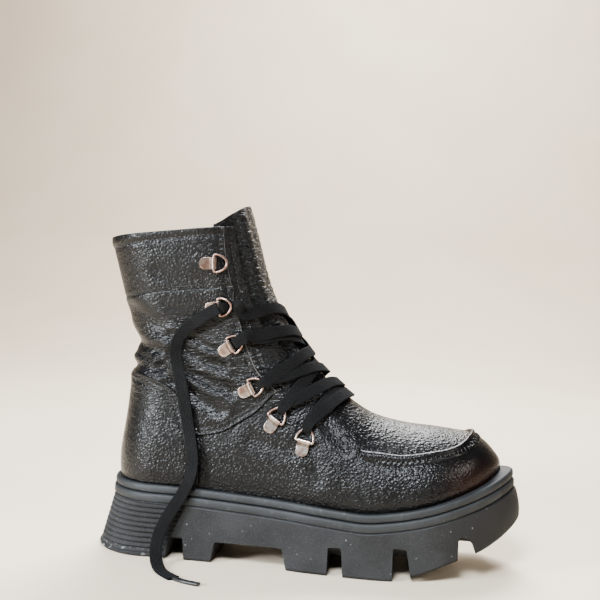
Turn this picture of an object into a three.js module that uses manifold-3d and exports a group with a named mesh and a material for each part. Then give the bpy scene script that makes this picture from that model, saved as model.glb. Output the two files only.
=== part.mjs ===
// Combat boot for the right foot, in millimetres.
// +X points to the toe, +Y to the inner side of the foot and +Z up.
// The origin is on the floor, under the middle of the heel block.
import * as THREE from "three";
import { mergeVertices } from "three/addons/utils/BufferGeometryUtils.js";
import Module from "manifold-3d";

const wasm = await Module();
wasm.setup();

// Sizes of the sole
const SOLE_LENGTH = 290;
const HEEL_REST = 24; // from the back of the sole to the origin
const HEEL_STACK = 50; // floor to the foot of the leather, at the heel
const BALL_STACK = 42; // the same at the ball of the foot
const TOE_RISE = 27; // how much higher the leather starts at the toe
const TOE_SPRING = 31; // how far the tread lifts off the floor at the toe
const SOLE_LEDGE = 5.4; // how far the sole stands out past the leather
const TOE_LEDGE = 4.6; // what the toe adds to that
const HEEL_LEDGE = 1.5; // what the heel adds to it
const HEEL_FLARE = 9.6; // how far the heel block spreads towards the floor
const TOE_SWELL = 4; // how far the side wall swells out round the toe
const WELT_HEIGHT = 5.6;
const WELT_INSET = 0.8; // how far the welt lies back from the rim under it
const RIM_HEIGHT = 6.4;
const RIM_GROOVE = 1.2;
const TREAD_BEVEL = 2.2;

// Sizes of the heel block and the lugs
const HEEL_BLOCK_LENGTH = 48; // along the floor
const HEEL_SLANT = 15; // how far the ribs reach further forward at their top
const RIB_COUNT = 10;
const RIB_DEPTH = 1.3;
const EDGE_DEPTH = 17; // from the side to where a notch's roof is lowest

// Sizes of the upper
const HEEL_WIDTH = 70.8; // over the leather
const BALL_WIDTH = 94.6;
const SHAFT_WIDTH = 82;
const TOE_HEIGHT = 40; // foot of the leather to the top of the toe box
const LEG_HEIGHT = 143; // top of the toe box to the collar, at the front
const BACK_HEIGHT = 169.5; // foot of the leather to the collar, at the back
const TOE_ROUND = 60;
const HEEL_ROUND = 33;
const SHIN_ROUND = 38;
const FEATHER_BULGE = 0.035; // share by which the wall swells over the welt
const WALL = 2;
const GAP = 0.3; // between pieces that meet
const INSOLE_CLEARANCE = 1.7;
const OVERLAY_GAP = 0.45; // between a curved overlay and the upper
const HALF_STEPS = 18; // steps from back to front along each side

// Sizes of the overlays
const QUARTER_THICKNESS = 1.1;
const COUNTER_THICKNESS = 1.9;
const RIDGE_HEIGHT = 1.9;
const SEAM_GAP = 0.6;

// Sizes of the throat and the tongue
const THROAT_WIDTH = 58; // at the collar
const THROAT_START = 12.4; // row of the upper at which the throat ends below
const TONGUE_THICKNESS = 5;
const TONGUE_BULGE = 0.6;
const TONGUE_GAP = 1; // between its sides and the wall
const TONGUE_STAND = 1.02; // rows by which the tongue passes the collar
const TONGUE_SAG = 0.85; // rows by which its top edge falls towards its sides

// Sizes of the lace loops, their rings and the lace
const PLATE_WIDTH = 8.4;
const PLATE_LENGTH = 8.2;
const PLATE_THICKNESS = 1;
const PLATE_GAP = 0.5; // over the leather, at a plate's middle
const WIRE = 1.8;
const PIN_CLEARANCE = 0.28;
const BARREL_WALL = 0.8;
const RING_SPAN = 12.4; // between the wire's middle lines, along the bar
const RING_DEPTH = 8.8; // from the bar's middle line to the bow's
const LACE_WIDTH = 8.4;
const LACE_THICKNESS = 1.5;
const LACE_LIFT = 3.9; // middle of the lace over the upper's own surface
const LACE_STEPS = 6; // along each crossing
const TIP_LENGTH = 20;

// Materials
const leather = { color: 0x17181a, roughness: 0.45, metalness: 0 };
const darkLeather = { color: 0x131416, roughness: 0.5, metalness: 0 };
const rubber = { color: 0x33373a, roughness: 0.75, metalness: 0 };
const board = { color: 0x4a4038, roughness: 0.9, metalness: 0 };
const metal = { color: 0x8d8a86, roughness: 0.3, metalness: 0.9 };
const cotton = { color: 0x0e0e0f, roughness: 0.95, metalness: 0 };

const mix = (a, b, share) => a + (b - a) * share;
const clamp = (value) => Math.min(Math.max(value, 0), 1);
const smooth = (value) => clamp(value) ** 2 * (3 - 2 * clamp(value));
const arc = (share) => Math.sqrt(1 - (1 - clamp(share)) ** 2);
const alongSole = (share) => share * SOLE_LENGTH - HEEL_REST;

// A smooth curve through points with rising x that never overshoots them.
function curveThrough(xs, ys) {
  const last = xs.length - 1;
  const slopes = ys.slice(1).map((y, i) => (y - ys[i]) / (xs[i + 1] - xs[i]));
  const tangents = ys.map((_, i) => {
    if (i === 0) return slopes[0];
    if (i === last) return slopes[last - 1];
    const [before, after] = [slopes[i - 1], slopes[i]];
    return before * after <= 0 ? 0 : (2 * before * after) / (before + after);
  });
  return (x) => {
    if (x <= xs[0]) return ys[0] + tangents[0] * (x - xs[0]);
    if (x >= xs[last]) return ys[last] + tangents[last] * (x - xs[last]);
    const i = xs.findIndex((edge) => x < edge) - 1;
    const width = xs[i + 1] - xs[i];
    const u = (x - xs[i]) / width;
    const bend = (1 - u) ** 2 * u * tangents[i] - u ** 2 * (1 - u) * tangents[i + 1];
    return mix(ys[i], ys[i + 1], smooth(u)) + bend * width;
  };
}

const columnCurve = (rows, key, value) =>
  curveThrough(rows.map(key), rows.map(value));

// Foot of the leather along the sole: heel and rise are shares of the stack
// heights that they add to the height at the ball.
const FEATHER_ROWS = [
  { at: 0.0, heel: 1, rise: 0 },
  { at: 0.2, heel: 0.9, rise: 0 },
  { at: 0.37, heel: 0.62, rise: 0 },
  { at: 0.49, heel: 0.36, rise: 0 },
  { at: 0.59, heel: 0.1, rise: 0 },
  { at: 0.64, heel: 0, rise: 0 },
  { at: 0.715, heel: 0, rise: 0.09 },
  { at: 0.79, heel: 0, rise: 0.27 },
  { at: 0.86, heel: 0, rise: 0.51 },
  { at: 0.915, heel: 0, rise: 0.74 },
  { at: 0.96, heel: 0, rise: 1 },
];
const featherHeight = columnCurve(
  FEATHER_ROWS,
  (row) => alongSole(row.at),
  (row) =>
    BALL_STACK + row.heel * (HEEL_STACK - BALL_STACK) + row.rise * TOE_RISE,
);

// Underside of the lugs along the sole, as a share of the toe spring.
const TREAD_ROWS = [
  { at: 0.0, lift: 0 },
  { at: 0.7, lift: 0 },
  { at: 0.76, lift: 0.13 },
  { at: 0.855, lift: 0.46 },
  { at: 0.91, lift: 0.63 },
  { at: 0.95, lift: 0.81 },
  { at: 0.985, lift: 1 },
];
const treadHeight = columnCurve(
  TREAD_ROWS,
  (row) => alongSole(row.at),
  (row) => row.lift * TOE_SPRING,
);

// Outline of the leather from above: ball is the share of the way from half
// the heel width to half the ball width, shift moves the middle line.
const PLAN_ROWS = [
  { at: 0.03, ball: 0, shift: 0 },
  { at: 0.23, ball: 0.03, shift: -0.008 },
  { at: 0.3, ball: 0.04, shift: -0.02 },
  { at: 0.37, ball: 0.1, shift: -0.032 },
  { at: 0.44, ball: 0.27, shift: -0.037 },
  { at: 0.51, ball: 0.52, shift: -0.032 },
  { at: 0.58, ball: 0.78, shift: -0.026 },
  { at: 0.65, ball: 0.95, shift: -0.021 },
  { at: 0.71, ball: 1, shift: -0.01 },
  { at: 0.77, ball: 1, shift: 0 },
  { at: 0.82, ball: 1, shift: 0.016 },
  { at: 0.9, ball: 1, shift: 0.05 },
  { at: 0.96, ball: 1, shift: 0.077 },
];
const planHalf = columnCurve(
  PLAN_ROWS,
  (row) => alongSole(row.at),
  (row) => mix(HEEL_WIDTH, BALL_WIDTH, row.ball) / 2,
);
const planShift = columnCurve(
  PLAN_ROWS,
  (row) => alongSole(row.at),
  (row) => row.shift * BALL_WIDTH,
);

// Half width of the heel and the shaft over their height.
const LEG_ROWS = [
  { height: -0.05, heel: 0.985, shaft: 0 },
  { height: 0.0, heel: 1, shaft: 0 },
  { height: 0.06, heel: 1.03, shaft: 0 },
  { height: 0.15, heel: 1.02, shaft: 0 },
  { height: 0.24, heel: 0.975, shaft: 0 },
  { height: 0.325, heel: 0.78, shaft: 0.132 },
  { height: 0.41, heel: 0.6, shaft: 0.275 },
  { height: 0.59, heel: 0.3, shaft: 0.546 },
  { height: 0.77, heel: 0.1, shaft: 0.804 },
  { height: 0.89, heel: 0, shaft: 0.951 },
  { height: 1.0, heel: 0, shaft: 1 },
  { height: 1.2, heel: 0, shaft: 1.05 },
];
const legHalf = columnCurve(
  LEG_ROWS,
  (row) => HEEL_STACK + row.height * BACK_HEIGHT,
  (row) => (row.heel * HEEL_WIDTH + row.shaft * SHAFT_WIDTH) / 2,
);

// The upper's rows from its foot to past the collar. Each row is a loop through
// a back point and a front point: back and front are shares of the sole's
// length, rise is the back point's share of the back height, toe and leg are
// the front point's shares of the toe box and the leg above it, and settle is
// how much the loop follows the curve of the sole.
const UPPER_ROWS = [
  { back: 0.031, rise: 0, front: 0.9575, toe: 0, leg: 0, settle: 1 },
  { back: 0.0303, rise: 0.003, front: 0.9586, toe: 0.01, leg: 0, settle: 1 },
  { back: 0.0269, rise: 0.041, front: 0.9552, toe: 0.165, leg: 0, settle: 0.9 },
  { back: 0.0262, rise: 0.089, front: 0.9414, toe: 0.37, leg: 0, settle: 0.7 },
  { back: 0.0286, rise: 0.142, front: 0.9172, toe: 0.64, leg: 0, settle: 0.5 },
  { back: 0.0328, rise: 0.195, front: 0.8862, toe: 0.86, leg: 0, settle: 0.3 },
  { back: 0.0362, rise: 0.243, front: 0.8448, toe: 1, leg: 0.002, settle: 0.15 },
  { back: 0.0383, rise: 0.284, front: 0.7897, toe: 1, leg: 0.049, settle: 0.05 },
  { back: 0.0397, rise: 0.32, front: 0.7345, toe: 1, leg: 0.084, settle: 0 },
  { back: 0.0414, rise: 0.355, front: 0.6862, toe: 1, leg: 0.115, settle: 0 },
  { back: 0.0431, rise: 0.39, front: 0.6448, toe: 1, leg: 0.147, settle: 0 },
  { back: 0.0448, rise: 0.426, front: 0.6103, toe: 1, leg: 0.182, settle: 0 },
  { back: 0.0466, rise: 0.46, front: 0.5759, toe: 1, leg: 0.226, settle: 0 },
  { back: 0.0493, rise: 0.497, front: 0.5414, toe: 1, leg: 0.276, settle: 0 },
  { back: 0.0531, rise: 0.533, front: 0.5069, toe: 1, leg: 0.334, settle: 0 },
  { back: 0.0545, rise: 0.574, front: 0.4724, toe: 1, leg: 0.407, settle: 0 },
  { back: 0.0483, rise: 0.62, front: 0.4414, toe: 1, leg: 0.49, settle: 0 },
  { back: 0.0338, rise: 0.68, front: 0.4138, toe: 1, leg: 0.582, settle: 0 },
  { back: 0.0207, rise: 0.75, front: 0.3897, toe: 1, leg: 0.673, settle: 0 },
  { back: 0.0069, rise: 0.828, front: 0.369, toe: 1, leg: 0.776, settle: 0 },
  { back: -0.0069, rise: 0.911, front: 0.3517, toe: 1, leg: 0.887, settle: 0 },
  { back: -0.0207, rise: 1, front: 0.3345, toe: 1, leg: 1, settle: 0 },
  { back: -0.029, rise: 1.095, front: 0.3172, toe: 1, leg: 1.11, settle: 0 },
];
const COLLAR_ROW = UPPER_ROWS.length - 2;
const footDrop = (index) => (index === 0 ? WELT_HEIGHT : 0);
const rowPoints = UPPER_ROWS.map((row, index) => ({
  backX: alongSole(row.back),
  backZ: HEEL_STACK + row.rise * BACK_HEIGHT - footDrop(index),
  frontX: alongSole(row.front),
  frontZ:
    featherHeight(alongSole(row.front)) +
    row.toe * TOE_HEIGHT +
    row.leg * LEG_HEIGHT -
    footDrop(index),
  settle: row.settle,
}));
const byRow = (key) =>
  columnCurve(
    rowPoints.map((point, index) => ({ index, value: point[key] })),
    (row) => row.index,
    (row) => row.value,
  );
const backX = byRow("backX");
const backZ = byRow("backZ");
const frontX = byRow("frontX");
const frontZ = byRow("frontZ");
const settle = byRow("settle");

// The front line as height over x and as x over height, and the back line.
const visibleRows = rowPoints.slice(1);
const frontDown = [...visibleRows].reverse();
const topAt = columnCurve(
  frontDown,
  (point) => point.frontX,
  (point) => point.frontZ,
);
const shinAt = columnCurve(
  visibleRows,
  (point) => point.frontZ,
  (point) => point.frontX,
);
const heelAt = columnCurve(
  visibleRows,
  (point) => point.backZ,
  (point) => point.backX,
);

// Half width of the upper at a place along the foot and a height.
function halfWidth(x, z) {
  const foot = featherHeight(x);
  const up = clamp((z - foot) / Math.max(topAt(x) - foot, 1));
  const swell = 1 - FEATHER_BULGE * clamp(1 - up / 0.12) ** 2;
  const dome = Math.max(1 - up ** 2.4, 0) ** 0.62 * swell;
  const toeEnd = alongSole(UPPER_ROWS[1].front);
  const toeShare = clamp((x - toeEnd + TOE_ROUND) / TOE_ROUND);
  const forefoot = planHalf(x) * (1 - toeShare ** 2) ** 0.55 * dome;
  const shin = arc((shinAt(z) - x) / SHIN_ROUND);
  const heel = arc((x - heelAt(z)) / HEEL_ROUND);
  const hindfoot = legHalf(z) * heel * shin;
  const share = smooth((x - alongSole(0.32)) / (SOLE_LENGTH * 0.22));
  return mix(hindfoot, forefoot, share);
}

function middleLine(x, z) {
  const up = clamp((z - featherHeight(x)) / Math.max(topAt(x) - featherHeight(x), 1));
  return planShift(x) * (1 - 0.45 * up) * smooth(1.4 - up * 0.6);
}

// A point of the upper's surface: row counts up from the foot of the leather,
// and around runs from 0 at the back along the outer side to 1 at the front
// and on along the inner side to 2.
function surfacePoint(row, around) {
  const side = around <= 1 ? -1 : 1;
  const share = around <= 1 ? around : 2 - around;
  const x = mix(backX(row), frontX(row), share);
  const level = mix(backZ(row), frontZ(row), share);
  const straight = mix(
    featherHeight(backX(row)),
    featherHeight(frontX(row)),
    share,
  );
  const z = level + settle(row) * (featherHeight(x) - straight);
  const tip = share < 1e-6 || share > 1 - 1e-6;
  const half = tip ? 0 : halfWidth(x, z);
  return new THREE.Vector3(x, middleLine(x, z) + side * half, z);
}

const aroundAt = (step) => {
  const half = step % (2 * HALF_STEPS);
  const share = (1 - Math.cos((Math.PI * half) / HALF_STEPS)) / 2;
  return half <= HALF_STEPS ? share : 2 - share;
};

function surfaceNormal(row, around) {
  const step = 0.02;
  const low = Math.max(row - 0.25, 0);
  const wrap = (value) => (value + 2) % 2;
  const up = surfacePoint(row + 0.25, around).sub(surfacePoint(low, around));
  const on = surfacePoint(row, wrap(around + step)).sub(
    surfacePoint(row, wrap(around - step)),
  );
  return on.cross(up).normalize();
}

// Solids from rows of loops with as many points each
function solidFrom(positions, faces) {
  const geometry = new THREE.BufferGeometry();
  geometry.setAttribute(
    "position",
    new THREE.Float32BufferAttribute(positions.flatMap((p) => [p.x, p.y, p.z]), 3),
  );
  geometry.setIndex(faces.flat());
  return solidOf(geometry);
}

function solidOf(geometry) {
  const bare = geometry.index ? geometry.toNonIndexed() : geometry.clone();
  bare.deleteAttribute("normal");
  bare.deleteAttribute("uv");
  const merged = mergeVertices(bare, 1e-4);
  return new wasm.Manifold(
    new wasm.Mesh({
      numProp: 3,
      vertProperties: merged.attributes.position.array,
      triVerts: new Uint32Array(merged.index.array),
    }),
  );
}

const quad = (a, b, c, d) => [a, b, c, a, c, d];
const otherQuad = (a, b, c, d) => [a, b, d, b, c, d];
// Walls are split along their shorter diagonal, which the inner side mirrors.
const wallQuad = (i, count) => (i < count / 2 ? quad : otherQuad);

// Closed solid between stacked loops, lowest first. Each loop runs the same
// way round, seen from above against the clock. Its ends are closed by strips
// across from one side to the other, so they may curve along their length.
function stackLoops(loops) {
  const count = loops[0].length;
  const faces = [];
  for (let level = 0; level + 1 < loops.length; level++) {
    for (let i = 0; i < count; i++) {
      const next = (i + 1) % count;
      const [low, high] = [level * count, (level + 1) * count];
      faces.push(wallQuad(i, count)(low + i, low + next, high + next, high + i));
    }
  }
  const top = (loops.length - 1) * count;
  for (let i = 0; i < count / 2; i++) {
    const [near, far] = [i, i + 1];
    const [nearBack, farBack] = [(count - i) % count, count - i - 1];
    faces.push(quad(top + near, top + far, top + farBack, top + nearBack));
    faces.push(quad(nearBack, farBack, far, near));
  }
  return solidFrom(loops.flat(), faces);
}

// Closed ring between an outside and an inside, both given as stacked loops.
function stackShell(outer, inner) {
  const count = outer[0].length;
  const levels = outer.length;
  const inside = levels * count;
  const faces = [];
  for (let i = 0; i < count; i++) {
    const next = (i + 1) % count;
    for (let level = 0; level + 1 < levels; level++) {
      const [low, high] = [level * count, (level + 1) * count];
      faces.push(wallQuad(i, count)(low + i, low + next, high + next, high + i));
      const inner = wallQuad(i, count)(low + i, low + next, high + next, high + i);
      faces.push(inner.map((index) => inside + index).reverse());
    }
    const top = (levels - 1) * count;
    faces.push(quad(top + i, top + next, inside + top + next, inside + top + i));
    faces.push(quad(inside + i, inside + next, next, i));
  }
  return solidFrom([...outer, ...inner].flat(), faces);
}

const stepsAround = Array.from({ length: 2 * HALF_STEPS }, (_, step) =>
  aroundAt(step),
);

// The upper's surface moved outwards by a distance, as loops from row to row.
function upperLoops(rows, distance) {
  return rows.map((row) =>
    stepsAround.map((around) =>
      surfacePoint(row, around).addScaledVector(surfaceNormal(row, around), distance),
    ),
  );
}

const upperShell = (rows, low, high) =>
  stackShell(upperLoops(rows, high), upperLoops(rows, low));

// A prism across the boot over an outline seen from the side.
function sidePrism(outline, fromY, toY) {
  const shape = new THREE.Shape(outline.map(([x, z]) => new THREE.Vector2(x, z)));
  const prism = new THREE.ExtrudeGeometry(shape, {
    depth: toY - fromY,
    bevelEnabled: false,
  });
  prism.rotateX(Math.PI / 2);
  prism.translate(0, toY, 0);
  return solidOf(prism);
}

// A prism upwards over an outline seen from above.
function planPrism(outline, fromZ, toZ) {
  const shape = new THREE.Shape(outline.map(([x, y]) => new THREE.Vector2(x, y)));
  const prism = new THREE.ExtrudeGeometry(shape, {
    depth: toZ - fromZ,
    bevelEnabled: false,
  });
  prism.translate(0, 0, fromZ);
  return solidOf(prism);
}

const FAR = 400;

// Outline of the sole: the foot of the leather, moved outwards.
const footLoop = stepsAround.map((around) => surfacePoint(1, around));
const footNormals = footLoop.map((_, i) => {
  const count = footLoop.length;
  const ahead = footLoop[(i + 1) % count];
  const behind = footLoop[(i + count - 1) % count];
  return new THREE.Vector2(ahead.y - behind.y, behind.x - ahead.x).normalize();
});

// A loop at a height over each point of the sole's outline.
function soleLoop(outwards, heightAt) {
  return footLoop.map((point, i) => {
    const normal = footNormals[i];
    const toe = TOE_LEDGE * Math.max(normal.x, 0) ** 3;
    const heel = HEEL_LEDGE * Math.max(-normal.x, 0) ** 3;
    const reach = outwards(normal, toe + heel);
    const x = point.x + normal.x * reach;
    const y = point.y + normal.y * reach;
    return new THREE.Vector3(x, y, heightAt(x, point.x));
  });
}

const rimTop = (x) => featherHeight(x) - WELT_HEIGHT - GAP;
const rimBottom = (x) => rimTop(x) - RIM_HEIGHT;
const edge = (extra) => (normal, end) => SOLE_LEDGE + end + extra;
const wallFlare = (share) => (normal, end) => {
  const heel = HEEL_FLARE * share * Math.max(-normal.x, 0.1);
  const swell = Math.sin(Math.PI * mix(0.12, 0.67, share));
  const toe = TOE_SWELL * swell * Math.max(normal.x, 0) ** 2;
  return SOLE_LEDGE + end - 0.4 + heel + toe;
};
const wallHeight = (share) => (x, inner) =>
  mix(treadHeight(x), rimBottom(inner), share);

function soleBody() {
  return stackLoops([
    soleLoop(
      (normal, end) => wallFlare(1)(normal, end) - TREAD_BEVEL,
      (x) => treadHeight(x),
    ),
    soleLoop(wallFlare(1), (x) => treadHeight(x) + TREAD_BEVEL),
    soleLoop(wallFlare(0.5), wallHeight(0.5)),
    soleLoop(wallFlare(0), (x, inner) => rimBottom(inner) - 0.4),
    soleLoop(edge(-RIM_GROOVE), (x, inner) => rimBottom(inner) + 0.2),
    soleLoop(edge(0), (x, inner) => rimBottom(inner) + 1),
    soleLoop(edge(0), (x, inner) => rimTop(inner) - 1.3),
    soleLoop(edge(-1.6), (x, inner) => rimTop(inner)),
  ]);
}

// The heel block's ribs: the same outline with a groove between two ribs.
function ribbedBody() {
  const loops = [soleLoop(wallFlare(1), () => -4)];
  for (let rib = 0; rib < RIB_COUNT; rib++) {
    const share = (level) => mix(0.07, 0.985, (rib + level) / RIB_COUNT);
    loops.push(soleLoop(groovedAt(share(0)), wallHeight(share(0))));
    loops.push(soleLoop(ribAt(share(0.5)), wallHeight(share(0.5))));
  }
  loops.push(soleLoop(groovedAt(0.99), wallHeight(0.99)));
  loops.push(soleLoop(wallFlare(0), (x, inner) => rimTop(inner) + 4));
  return stackLoops(loops);
}
const ribAt = (share) => (normal, end) => wallFlare(1 - share)(normal, end) - 0.15;
const groovedAt = (share) => (normal, end) => ribAt(share)(normal, end) - RIB_DEPTH;

// What lies behind the slanted line at which the ribs end
function heelRegion() {
  const top = HEEL_STACK - WELT_HEIGHT - RIM_HEIGHT - GAP - 0.3;
  const floorEnd = HEEL_BLOCK_LENGTH - HEEL_REST;
  return sidePrism(
    [
      [-FAR, -10],
      [floorEnd - (10 * HEEL_SLANT) / top, -10],
      [floorEnd + HEEL_SLANT, top],
      [-FAR, top],
    ],
    -FAR,
    FAR,
  );
}

// Notches between the lugs: back and front edges at the floor and at the roof,
// as shares of the sole's length, and the roof as a share of the ball's stack.
const NOTCH_ROWS = [
  { from: 0.167, to: 0.224, fromTop: 0.183, toTop: 0.216, roof: 0.5, inner: 0.3 },
  { from: 0.277, to: 0.479, fromTop: 0.294, toTop: 0.455, roof: 0.34, inner: 0.34 },
  { from: 0.562, to: 0.603, fromTop: 0.563, toTop: 0.593, roof: 0.48, inner: 0.25 },
  { from: 0.71, to: 0.759, fromTop: 0.711, toTop: 0.741, roof: 0.53, inner: 0.31 },
  { from: 0.855, to: 0.911, fromTop: 0.857, toTop: 0.887, roof: 0.83, inner: 0.62 },
];

function notch(row) {
  const slopeUnder = (share) => treadHeight(alongSole(share));
  const sideEdge = BALL_WIDTH / 2 + SOLE_LEDGE;
  const sections = [
    [-sideEdge - 6, row.roof],
    [-sideEdge, row.roof],
    [-sideEdge + EDGE_DEPTH, row.inner],
    [sideEdge - EDGE_DEPTH, row.inner],
    [sideEdge, row.roof],
    [sideEdge + 6, row.roof],
  ];
  const positions = sections.flatMap(([y, roof]) => {
    const top = roof * BALL_STACK;
    return [
      [alongSole(row.from), slopeUnder(row.from) - 12],
      [alongSole(row.to), slopeUnder(row.to) - 12],
      [alongSole(row.toTop), top],
      [alongSole(row.fromTop), top],
    ].map(([x, z]) => new THREE.Vector3(x, y, z));
  });
  const faces = [];
  for (let k = 0; k + 1 < sections.length; k++) {
    for (let i = 0; i < 4; i++) {
      const next = (i + 1) % 4;
      faces.push(quad(4 * k + next, 4 * k + i, 4 * k + 4 + i, 4 * k + 4 + next));
    }
  }
  const last = 4 * (sections.length - 1);
  faces.push(quad(0, 1, 2, 3), quad(last + 3, last + 2, last + 1, last));
  return solidFrom(positions, faces);
}

function outsole() {
  const shaved = soleBody().subtract(heelRegion().subtract(ribbedBody()));
  return NOTCH_ROWS.reduce((sole, row) => sole.subtract(notch(row)), shaved);
}

function welt() {
  const bottom = (x, inner) => rimTop(inner) + GAP;
  const level = (share) => (x, inner) =>
    rimTop(inner) + GAP + share * WELT_HEIGHT;
  const snug = () => GAP;
  const outer = [
    soleLoop(edge(-WELT_INSET - 1.2), bottom),
    soleLoop(edge(-WELT_INSET), level(0.45)),
    soleLoop(edge(-WELT_INSET - 1.6), level(1)),
  ];
  const inner = [
    soleLoop(snug, bottom),
    soleLoop(snug, level(0.45)),
    soleLoop(snug, level(1)),
  ];
  return stackShell(outer, inner);
}

function insole() {
  const inset = () => -WALL - INSOLE_CLEARANCE;
  const thickness = 4;
  return stackLoops([
    soleLoop(inset, (x, inner) => rimTop(inner) + GAP),
    soleLoop(inset, (x, inner) => rimTop(inner) + GAP + thickness),
  ]);
}

// The throat: a slot along the front line, open at the collar
const THROAT_ROWS = [
  { above: 0, half: 0.2 },
  { above: 0.25, half: 0.32 },
  { above: 0.8, half: 0.42 },
  { above: 2.6, half: 0.66 },
  { above: 5, half: 0.95 },
  { above: 9.6, half: 1 },
];
const throatHalf = columnCurve(
  THROAT_ROWS,
  (row) => THROAT_START + row.above,
  (row) => (row.half * THROAT_WIDTH) / 2,
);

function throat() {
  const rows = [0, 0.25, 0.8, 1.7, 2.6, 3.8, 5, 6.5, 8, 9.6].map(
    (above) => THROAT_START + above,
  );
  const sections = rows.map((row) => {
    const middle = surfacePoint(row, 1);
    const ahead = surfacePoint(row + 0.1, 1).sub(surfacePoint(row - 0.1, 1));
    const out = new THREE.Vector3(-ahead.z, 0, ahead.x).normalize().negate();
    const half = throatHalf(row);
    return [
      [14, -half],
      [14, half],
      [-15, half],
      [-15, -half],
    ].map(([reach, y]) =>
      middle.clone().setY(0).addScaledVector(out, reach).setY(y),
    );
  });
  return loftSections(sections);
}

// Closed solid through sections with as many points each, from end to end. Each
// section runs out along one face and back along the other.
function loftSections(sections) {
  const count = sections[0].length;
  const faces = [];
  for (let k = 0; k + 1 < sections.length; k++) {
    for (let i = 0; i < count; i++) {
      const next = (i + 1) % count;
      const [low, high] = [k * count, (k + 1) * count];
      faces.push(quad(low + i, low + next, high + next, high + i));
    }
  }
  const flat = sections.map((section) => section.map((p) => p.clone()));
  const last = (sections.length - 1) * count;
  for (let i = 0; i + 1 < count / 2; i++) {
    const [a, b, c, d] = [i, i + 1, count - 2 - i, count - 1 - i];
    faces.push(quad(d, c, b, a), quad(last + a, last + b, last + c, last + d));
  }
  const made = solidFrom(flat.flat(), faces);
  if (made.volume() > 0) return made;
  return solidFrom(
    flat.flat(),
    faces.map((face) => [...face].reverse()),
  );
}

// The rows that get a loop in the solids, closer together over the vamp
const wholeRows = [0, 1, 2, 3, 4, 5, 6.2, 7.7, 9.4, 11.2, 13, 15, 17, 19, COLLAR_ROW];
const rowsBetween = (low, high) => wholeRows.filter((row) => row >= low && row <= high);
const upper = () => upperShell(wholeRows, -WALL, 0).subtract(throat());
const overlayShell = (low, high, thickness) =>
  upperShell(rowsBetween(low, high), OVERLAY_GAP, OVERLAY_GAP + thickness);

// Outlines of the overlays from the side. Their points are shares of the
// sole's length and of the back height above the heel's stack.
const fromSide = (points) =>
  points.map(([along, up]) => [alongSole(along), HEEL_STACK + up * BACK_HEIGHT]);
const COUNTER_EDGE = [
  [0.245, 0.006],
  [0.241, 0.1],
  [0.224, 0.21],
  [0.2, 0.31],
  [0.174, 0.375],
  [0.138, 0.41],
  [0.09, 0.437],
  [0.04, 0.448],
];
const VAMP_SEAM = [
  [0.241, 0.208],
  [0.295, 0.228],
  [0.336, 0.27],
  [0.376, 0.318],
  [0.407, 0.377],
  [0.42, 0.4],
];
const QUARTER_FRONT = [
  [0.42, 0.4],
  [0.378, 0.465],
  [0.366, 0.495],
  [0.334, 0.625],
  [0.324, 0.68],
  [0.314, 0.715],
  [0.307, 0.78],
  [0.294, 0.875],
  [0.283, 0.965],
  [0.276, 1.06],
];
const CUFF_SEAM = [
  [-0.1, 0.745],
  [0.05, 0.76],
  [0.124, 0.785],
  [0.207, 0.8],
  [0.31, 0.818],
];

function shifted(points, along, up) {
  return points.map(([x, z]) => [x + along, z + up]);
}

function heelCounter() {
  const outline = [...fromSide([[-0.1, 0.006]]), ...fromSide(COUNTER_EDGE), ...fromSide([[-0.1, 0.45]])];
  return overlayShell(1, 14, COUNTER_THICKNESS).intersect(
    sidePrism(outline, -FAR, FAR),
  );
}

// The side panels over the ankle, one for each side, with a seam at the back
function quarter(side) {
  const counterSide = shifted(fromSide(COUNTER_EDGE.slice(2)), SEAM_GAP, SEAM_GAP);
  const outline = [
    ...fromSide(VAMP_SEAM).slice(0, -1),
    ...fromSide(QUARTER_FRONT.slice(0, 7)),
    ...shifted(fromSide([...CUFF_SEAM].reverse()), 0, -SEAM_GAP),
    ...shifted(fromSide([[-0.1, 0.448]]), 0, SEAM_GAP),
    ...counterSide.reverse(),
  ];
  const [fromY, toY] = side < 0 ? [-FAR, -SEAM_GAP / 2] : [SEAM_GAP / 2, FAR];
  return overlayShell(4, COLLAR_ROW - 1, QUARTER_THICKNESS).intersect(
    sidePrism(outline, fromY, toY),
  );
}

function collarCuff() {
  const outline = [
    ...fromSide(CUFF_SEAM),
    ...fromSide(QUARTER_FRONT.slice(7)),
    ...fromSide([
      [0.276, 1.3],
      [-0.1, 1.3],
    ]),
  ];
  return overlayShell(COLLAR_ROW - 6, COLLAR_ROW, QUARTER_THICKNESS).intersect(
    sidePrism(outline, -FAR, FAR),
  );
}

// The raised seam round the plug of the vamp. inner and outer are its edges as
// shares of the height from the foot of the leather to the top of the vamp.
const RIDGE_ROWS = [
  { at: 0.535, inner: 0.59, outer: 0.57 },
  { at: 0.575, inner: 0.605, outer: 0.545 },
  { at: 0.62, inner: 0.625, outer: 0.54 },
  { at: 0.67, inner: 0.66, outer: 0.537 },
  { at: 0.728, inner: 0.665, outer: 0.54 },
  { at: 0.786, inner: 0.705, outer: 0.575 },
  { at: 0.835, inner: 0.765, outer: 0.63 },
  { at: 0.862, inner: 0.86, outer: 0.675 },
  { at: 0.878, inner: 0.97, outer: 0.72 },
  { at: 0.893, inner: 1, outer: 0.8 },
  { at: 0.903, inner: 1, outer: 0.9 },
];
const RIDGE_TIPS = { inner: 0.882, outer: 0.908 };

function ridgeOutline(edgeName) {
  const tip = RIDGE_TIPS[edgeName];
  const rows = RIDGE_ROWS.filter((row) => row.at < tip);
  const side = (sign) =>
    rows.map((row) => {
      const x = alongSole(row.at);
      const z = mix(featherHeight(x), topAt(x), row[edgeName]);
      return [x, middleLine(x, z) + sign * halfWidth(x, z)];
    });
  const tipX = alongSole(tip);
  const front = [tipX, middleLine(tipX, topAt(tipX))];
  return { outer: side(-1), tip: front, inner: side(1) };
}

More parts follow.
